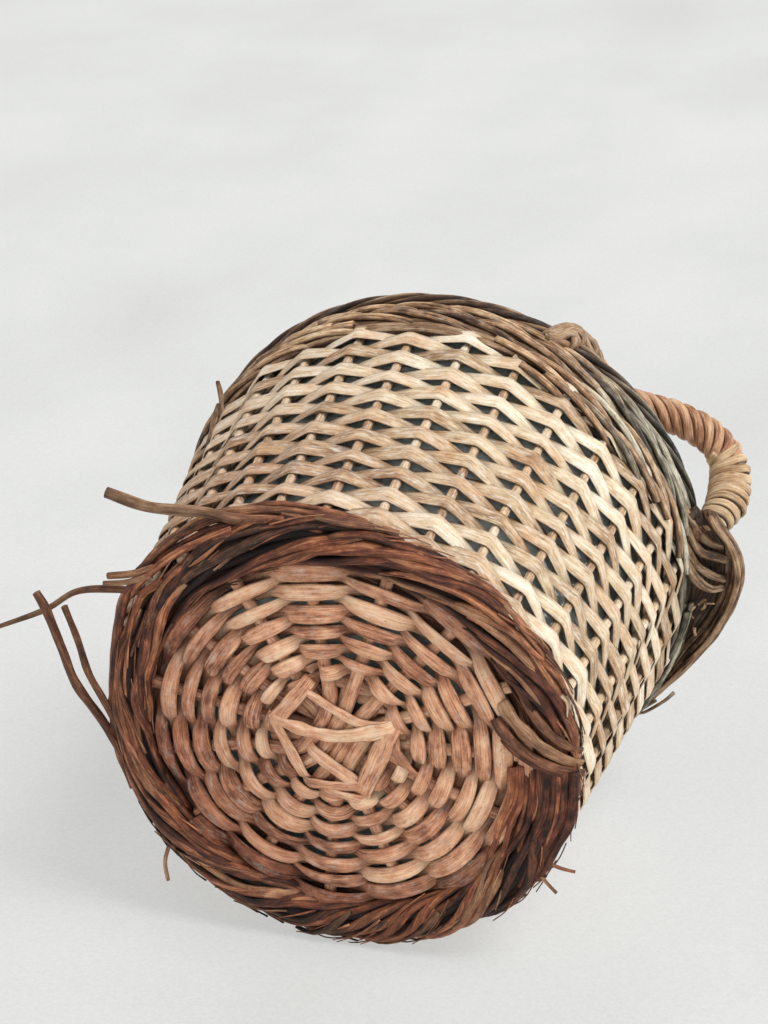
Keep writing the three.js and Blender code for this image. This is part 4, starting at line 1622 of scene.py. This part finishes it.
def far_whipping(material, letter, turn, seed):
    """The other end: its binding has come loose, and long skeins lie along it and in behind the band."""
    dice = random.Random(seed)
    piece = new_piece()
    outward = spot(1, turn, 0)
    path = sunk_path(bow_path(turn), outward)
    whole = lengths_along(path)[-1]
    for n in range(FAR_SKEINS):
        start = whole - FAR_WHIPPED - 8 - dice.uniform(0, 24)
        sway = wander(dice, 0.25, 30)
        girth = wander(dice, 0.8, 25)
        half = dice.uniform(1.9, 3.0)
        lead = n * 2 * math.pi / FAR_SKEINS

        def laid(run):
            return (7.4 + girth(run) * 0.5) * min(1.0, 0.25 + (whole - run) / 22)

        def turns(run):
            return run / 150 + sway(run) * 0.3

        def skein_size(run):
            return (half, 1.4)

        places = wound_places(path, outward, laid, turns, start, whole - 0.6, 2.5, skein_size, lead)
        add_strand(piece, places, dice.uniform(0.2, 0.9), tucks=0.15, tint=0.7)

    def loose_reach(run):
        return FAR_TURN_REACH

    def loose_turns(run):
        return run / FAR_TURN_PITCH

    def loose_size(run):
        return (2.4, 1.0)

    for start, rounds in ((whole - FAR_WHIPPED + 2, 1.4), (whole - 24, 1.2)):
        stop = start + rounds * FAR_TURN_PITCH
        places = wound_places(path, outward, loose_reach, loose_turns, start, stop, 0.5, loose_size)
        add_strand(piece, places, dice.uniform(0.2, 0.6), tucks=0.1, tint=0.7)

    def core_size(run):
        return (6.2 * min(1.0, 0.15 + (whole - run) / 26),) * 2

    start = whole - FAR_WHIPPED - 8
    core = wound_places(path, outward, nowhere, nowhere, start, whole - 0.1, 4, core_size)
    # The core is darkened as painted shade under the skeins
    add_strand(piece, core, 0.2, sides=16, tucks=0.8)
    nodes = [f"handle_{letter}_whipping_far"]
    return finish_piece(piece, f"handle_{letter}_binding_far", material, nodes)


# Sprung canes

CUT_CANE = [(16, -119, 8), (-6, -124.5, 8), (-27, -126, 8), (-43, -129.5, 10)]
CUT_CANE += [(-59, -131.5, 10), (-76, -134, 11), (-95.5, -142, 12)]
THIN_CANE = [(-86, -86, 9), (-105, -87.5, 11), (-126, -86, 12), (-146, -76, 12), (-175, -67, 11)]
LONG_CANE = [(-106, 46, 6), (-117, 20, 6), (-127, -10, 7), (-137, -34, 7)]
LONG_CANE += [(-138.5, -55.5, 5), (-141.5, -79, 5), (-144.5, -90, 5)]
SHORT_CANE = [(-110, 16, 6), (-118, -6, 6), (-124, -27, 6), (-128, -42, 6)]
SHORT_CANE += [(-128.5, -61.5, 5), (-131, -81.5, 5)]
# Each cane: its points, diameter, tone, tints from the border to its end, and taper
CANES = {
    "sprung_cane_cut": (CUT_CANE, 6.2, 0.8, (-0.3, 0.95), (0.8, 1.0)),
    "sprung_cane_thin": (THIN_CANE, 3.6, 0.7, (0.2, 0.9), (1.2, 0.7)),
    "sprung_cane_long": (LONG_CANE, 5.6, 0.45, (0.0, 0.3), (0.9, 0.85)),
    "sprung_cane_short": (SHORT_CANE, 4.8, 0.5, (0.0, 0.35), (0.9, 0.75)),
}


def sprung_canes(material):
    """Rods that have sprung out of the foot border, each a piece of its own."""
    for name, (points, diameter, tone, tint, taper) in CANES.items():
        piece = new_piece()
        path = smooth_path(points_of(points), 3)
        last = len(path) - 1
        tints = [blend(tint[0], tint[1], min(1.0, 1.6 * i / last)) for i in range(last + 1)]
        add_rod(piece, path, diameter, tone, taper=taper, sides=12, tint=tints, rough=0.09, crease=0.4)
        finish_piece(piece, f"{name}_bark", material, [name])


# Stage, light and camera

# The floor that the object lies on in the photograph, in metres from the origin
FLOOR_NORMAL = Vector((0.1554, -0.9810, 0.1159)).normalized()
FLOOR_DISTANCE = -0.127
FLOOR_SIZE = 6.0
FLOOR_GLOW = 0.7
ROOM_COLOUR = (0.97, 0.985, 1.0, 1.0)
ROOM_STRENGTH = 0.62
# Soft even lamps: the way that each stands in, its strength, and how wide it looks, in degrees
LAMPS = [
    ("window", (0.655, -0.806, -0.086), 2.75, 28),
    ("front_sheet", (0.1, -0.3, -0.95), 0.6, 33),
    ("side_window", (0.72, 0.07, 0.69), 1.0, 28),
    ("rear_window", (-0.55, 0.75, 0.5), 1.2, 33),
]
CAMERA_PLACE = Vector((484.3, -715.2, -1126.4))
CAMERA_RIGHT = Vector((0.9459, 0.1816, 0.2689))
CAMERA_UP = Vector((0.0354, -0.8816, 0.4706))
CAMERA_FORWARD = Vector((-0.3225, 0.4356, 0.8404))
CAMERA_LENS = 98.44
CAMERA_SENSOR = 36.0


def pale_cloth(name):
    """Pale cloth, clear from behind, and even in its light where it is seen or mirrored."""
    material, tree, shader = new_material(name)
    place = add_node(tree, "ShaderNodeTexCoord").outputs["Object"]
    # Painted shade where the cloth lies in soft waves
    painted_fold_shade = stretched_noise(tree, place, (5.0, 5.0, 3.0), 3.0, 0.5)
    colour = shade_ramp(tree, painted_fold_shade, tones((206, 206, 203), (218, 219, 217), (228, 228, 227)))
    threads = even_noise(tree, place, 420.0, 4.0, 0.8)
    colour = mix_colours(tree, 1.0, colour, ranged(tree, threads, low=0.86, high=1.12), "MULTIPLY")
    tree.links.new(colour, shader.inputs["Base Color"])
    shader.inputs["Roughness"].default_value = 0.95
    shader.inputs["Specular IOR Level"].default_value = 0.1
    add_bump(tree, shader, even_noise(tree, place, 900.0, 2.0), 0.35, 0.4)
    rays = add_node(tree, "ShaderNodeLightPath").outputs
    seen = sums(tree, "ADD", rays["Is Camera Ray"], rays["Is Glossy Ray"], True)
    seen = sums(tree, "ADD", seen, rays["Is Transmission Ray"], True)
    glow = add_node(tree, "ShaderNodeEmission", {"Color": colour, "Strength": 1.0}).outputs["Emission"]
    glowing = sums(tree, "MULTIPLY", seen, FLOOR_GLOW)
    front = add_node(tree, "ShaderNodeMixShader", {0: glowing, 1: shader.outputs["BSDF"], 2: glow})
    clear = add_node(tree, "ShaderNodeBsdfTransparent").outputs["BSDF"]
    behind = add_node(tree, "ShaderNodeNewGeometry").outputs["Backfacing"]
    either = add_node(tree, "ShaderNodeMixShader", {0: behind, 1: front.outputs[0], 2: clear})
    tree.links.new(either.outputs[0], tree.nodes["Material Output"].inputs["Surface"])
    return material


def cloth_floor(name, normal, distance):
    """A plain floor of pale cloth, square to its normal."""
    floor = bmesh.new()
    bmesh.ops.create_grid(floor, x_segments=1, y_segments=1, size=FLOOR_SIZE)
    turn = normal.to_track_quat("Z", "Y").to_matrix().to_4x4()
    bmesh.ops.transform(floor, matrix=Matrix.Translation(normal * distance) @ turn, verts=floor.verts)
    mesh = bpy.data.meshes.new(name)
    floor.to_mesh(mesh)
    floor.free()
    mesh.materials.append(pale_cloth(name + " cloth"))
    thing = bpy.data.objects.new(name, mesh)
    bpy.context.scene.collection.objects.link(thing)
    return thing


def soft_lamp(name, direction, strength, softness):
    """A soft even light from far away."""
    lamp = bpy.data.lights.new(name, "SUN")
    lamp.angle = math.radians(softness)
    lamp.energy = strength
    thing = bpy.data.objects.new(name, lamp)
    thing.rotation_mode = "QUATERNION"
    thing.rotation_quaternion = Vector(direction).normalized().to_track_quat("Z", "Y")
    bpy.context.scene.collection.objects.link(thing)


def soft_room():
    """An even pale sky all round."""
    world = bpy.data.worlds.new("soft room")
    world.use_nodes = True
    sky = world.node_tree.nodes["Background"]
    sky.inputs["Color"].default_value = ROOM_COLOUR
    sky.inputs["Strength"].default_value = ROOM_STRENGTH
    bpy.context.scene.world = world


def stage():
    """The floor of the photograph, one under the standing object that only the camera sees, and the light."""
    lying = cloth_floor("lying_floor", FLOOR_NORMAL, FLOOR_DISTANCE)
    lying.visible_shadow = False
    standing = cloth_floor("standing_floor", UP, 0.0)
    standing.visible_diffuse = False
    standing.visible_glossy = False
    standing.visible_transmission = False
    standing.visible_shadow = False
    soft_room()
    for lamp in LAMPS:
        soft_lamp(*lamp)


def photo_camera():
    """The camera of the photograph, as it was solved from it."""
    lens = bpy.data.cameras.new("photo camera")
    lens.sensor_fit = "VERTICAL"
    lens.sensor_height = CAMERA_SENSOR
    lens.lens = CAMERA_LENS
    lens.clip_start = 0.05
    lens.clip_end = 40.0
    thing = bpy.data.objects.new("photo camera", lens)
    turn = Matrix((CAMERA_RIGHT, CAMERA_UP, -CAMERA_FORWARD)).transposed().to_4x4()
    thing.matrix_world = Matrix.Translation(CAMERA_PLACE * MM) @ turn
    bpy.context.scene.collection.objects.link(thing)
    bpy.context.scene.camera = thing


def build():
    """Every piece of the object, then what stands round it."""
    base = base_willow()
    pale = pale_willow()
    bark = bark_willow()
    weathered = band_willow()
    rope = rope_willow()
    straw = whipping_willow()
    glass_bottle(green_glass())
    cork(cut_cork())
    base_sticks(base)
    base_weave(base)
    base_lashing(base)
    foot_border(bark)
    side_stakes(pale)
    side_weave(pale)
    cape_weave(pale)
    shoulder_band(weathered)
    top_border(weathered)
    neck_collar(weathered)
    for letter, turn, seed in (("a", HANDLE_AZIMUTH, 61), ("b", HANDLE_AZIMUTH + 180, 71)):
        handle_rope(rope, letter, turn, seed)
        near_whipping(straw, letter, turn, seed + 1)
        far_whipping(straw, letter, turn, seed + 2)
    sprung_canes(bark)
    stage()
    photo_camera()


build()
bpy.context.scene.view_settings.view_transform = "Standard"
bpy.context.view_layer.update()
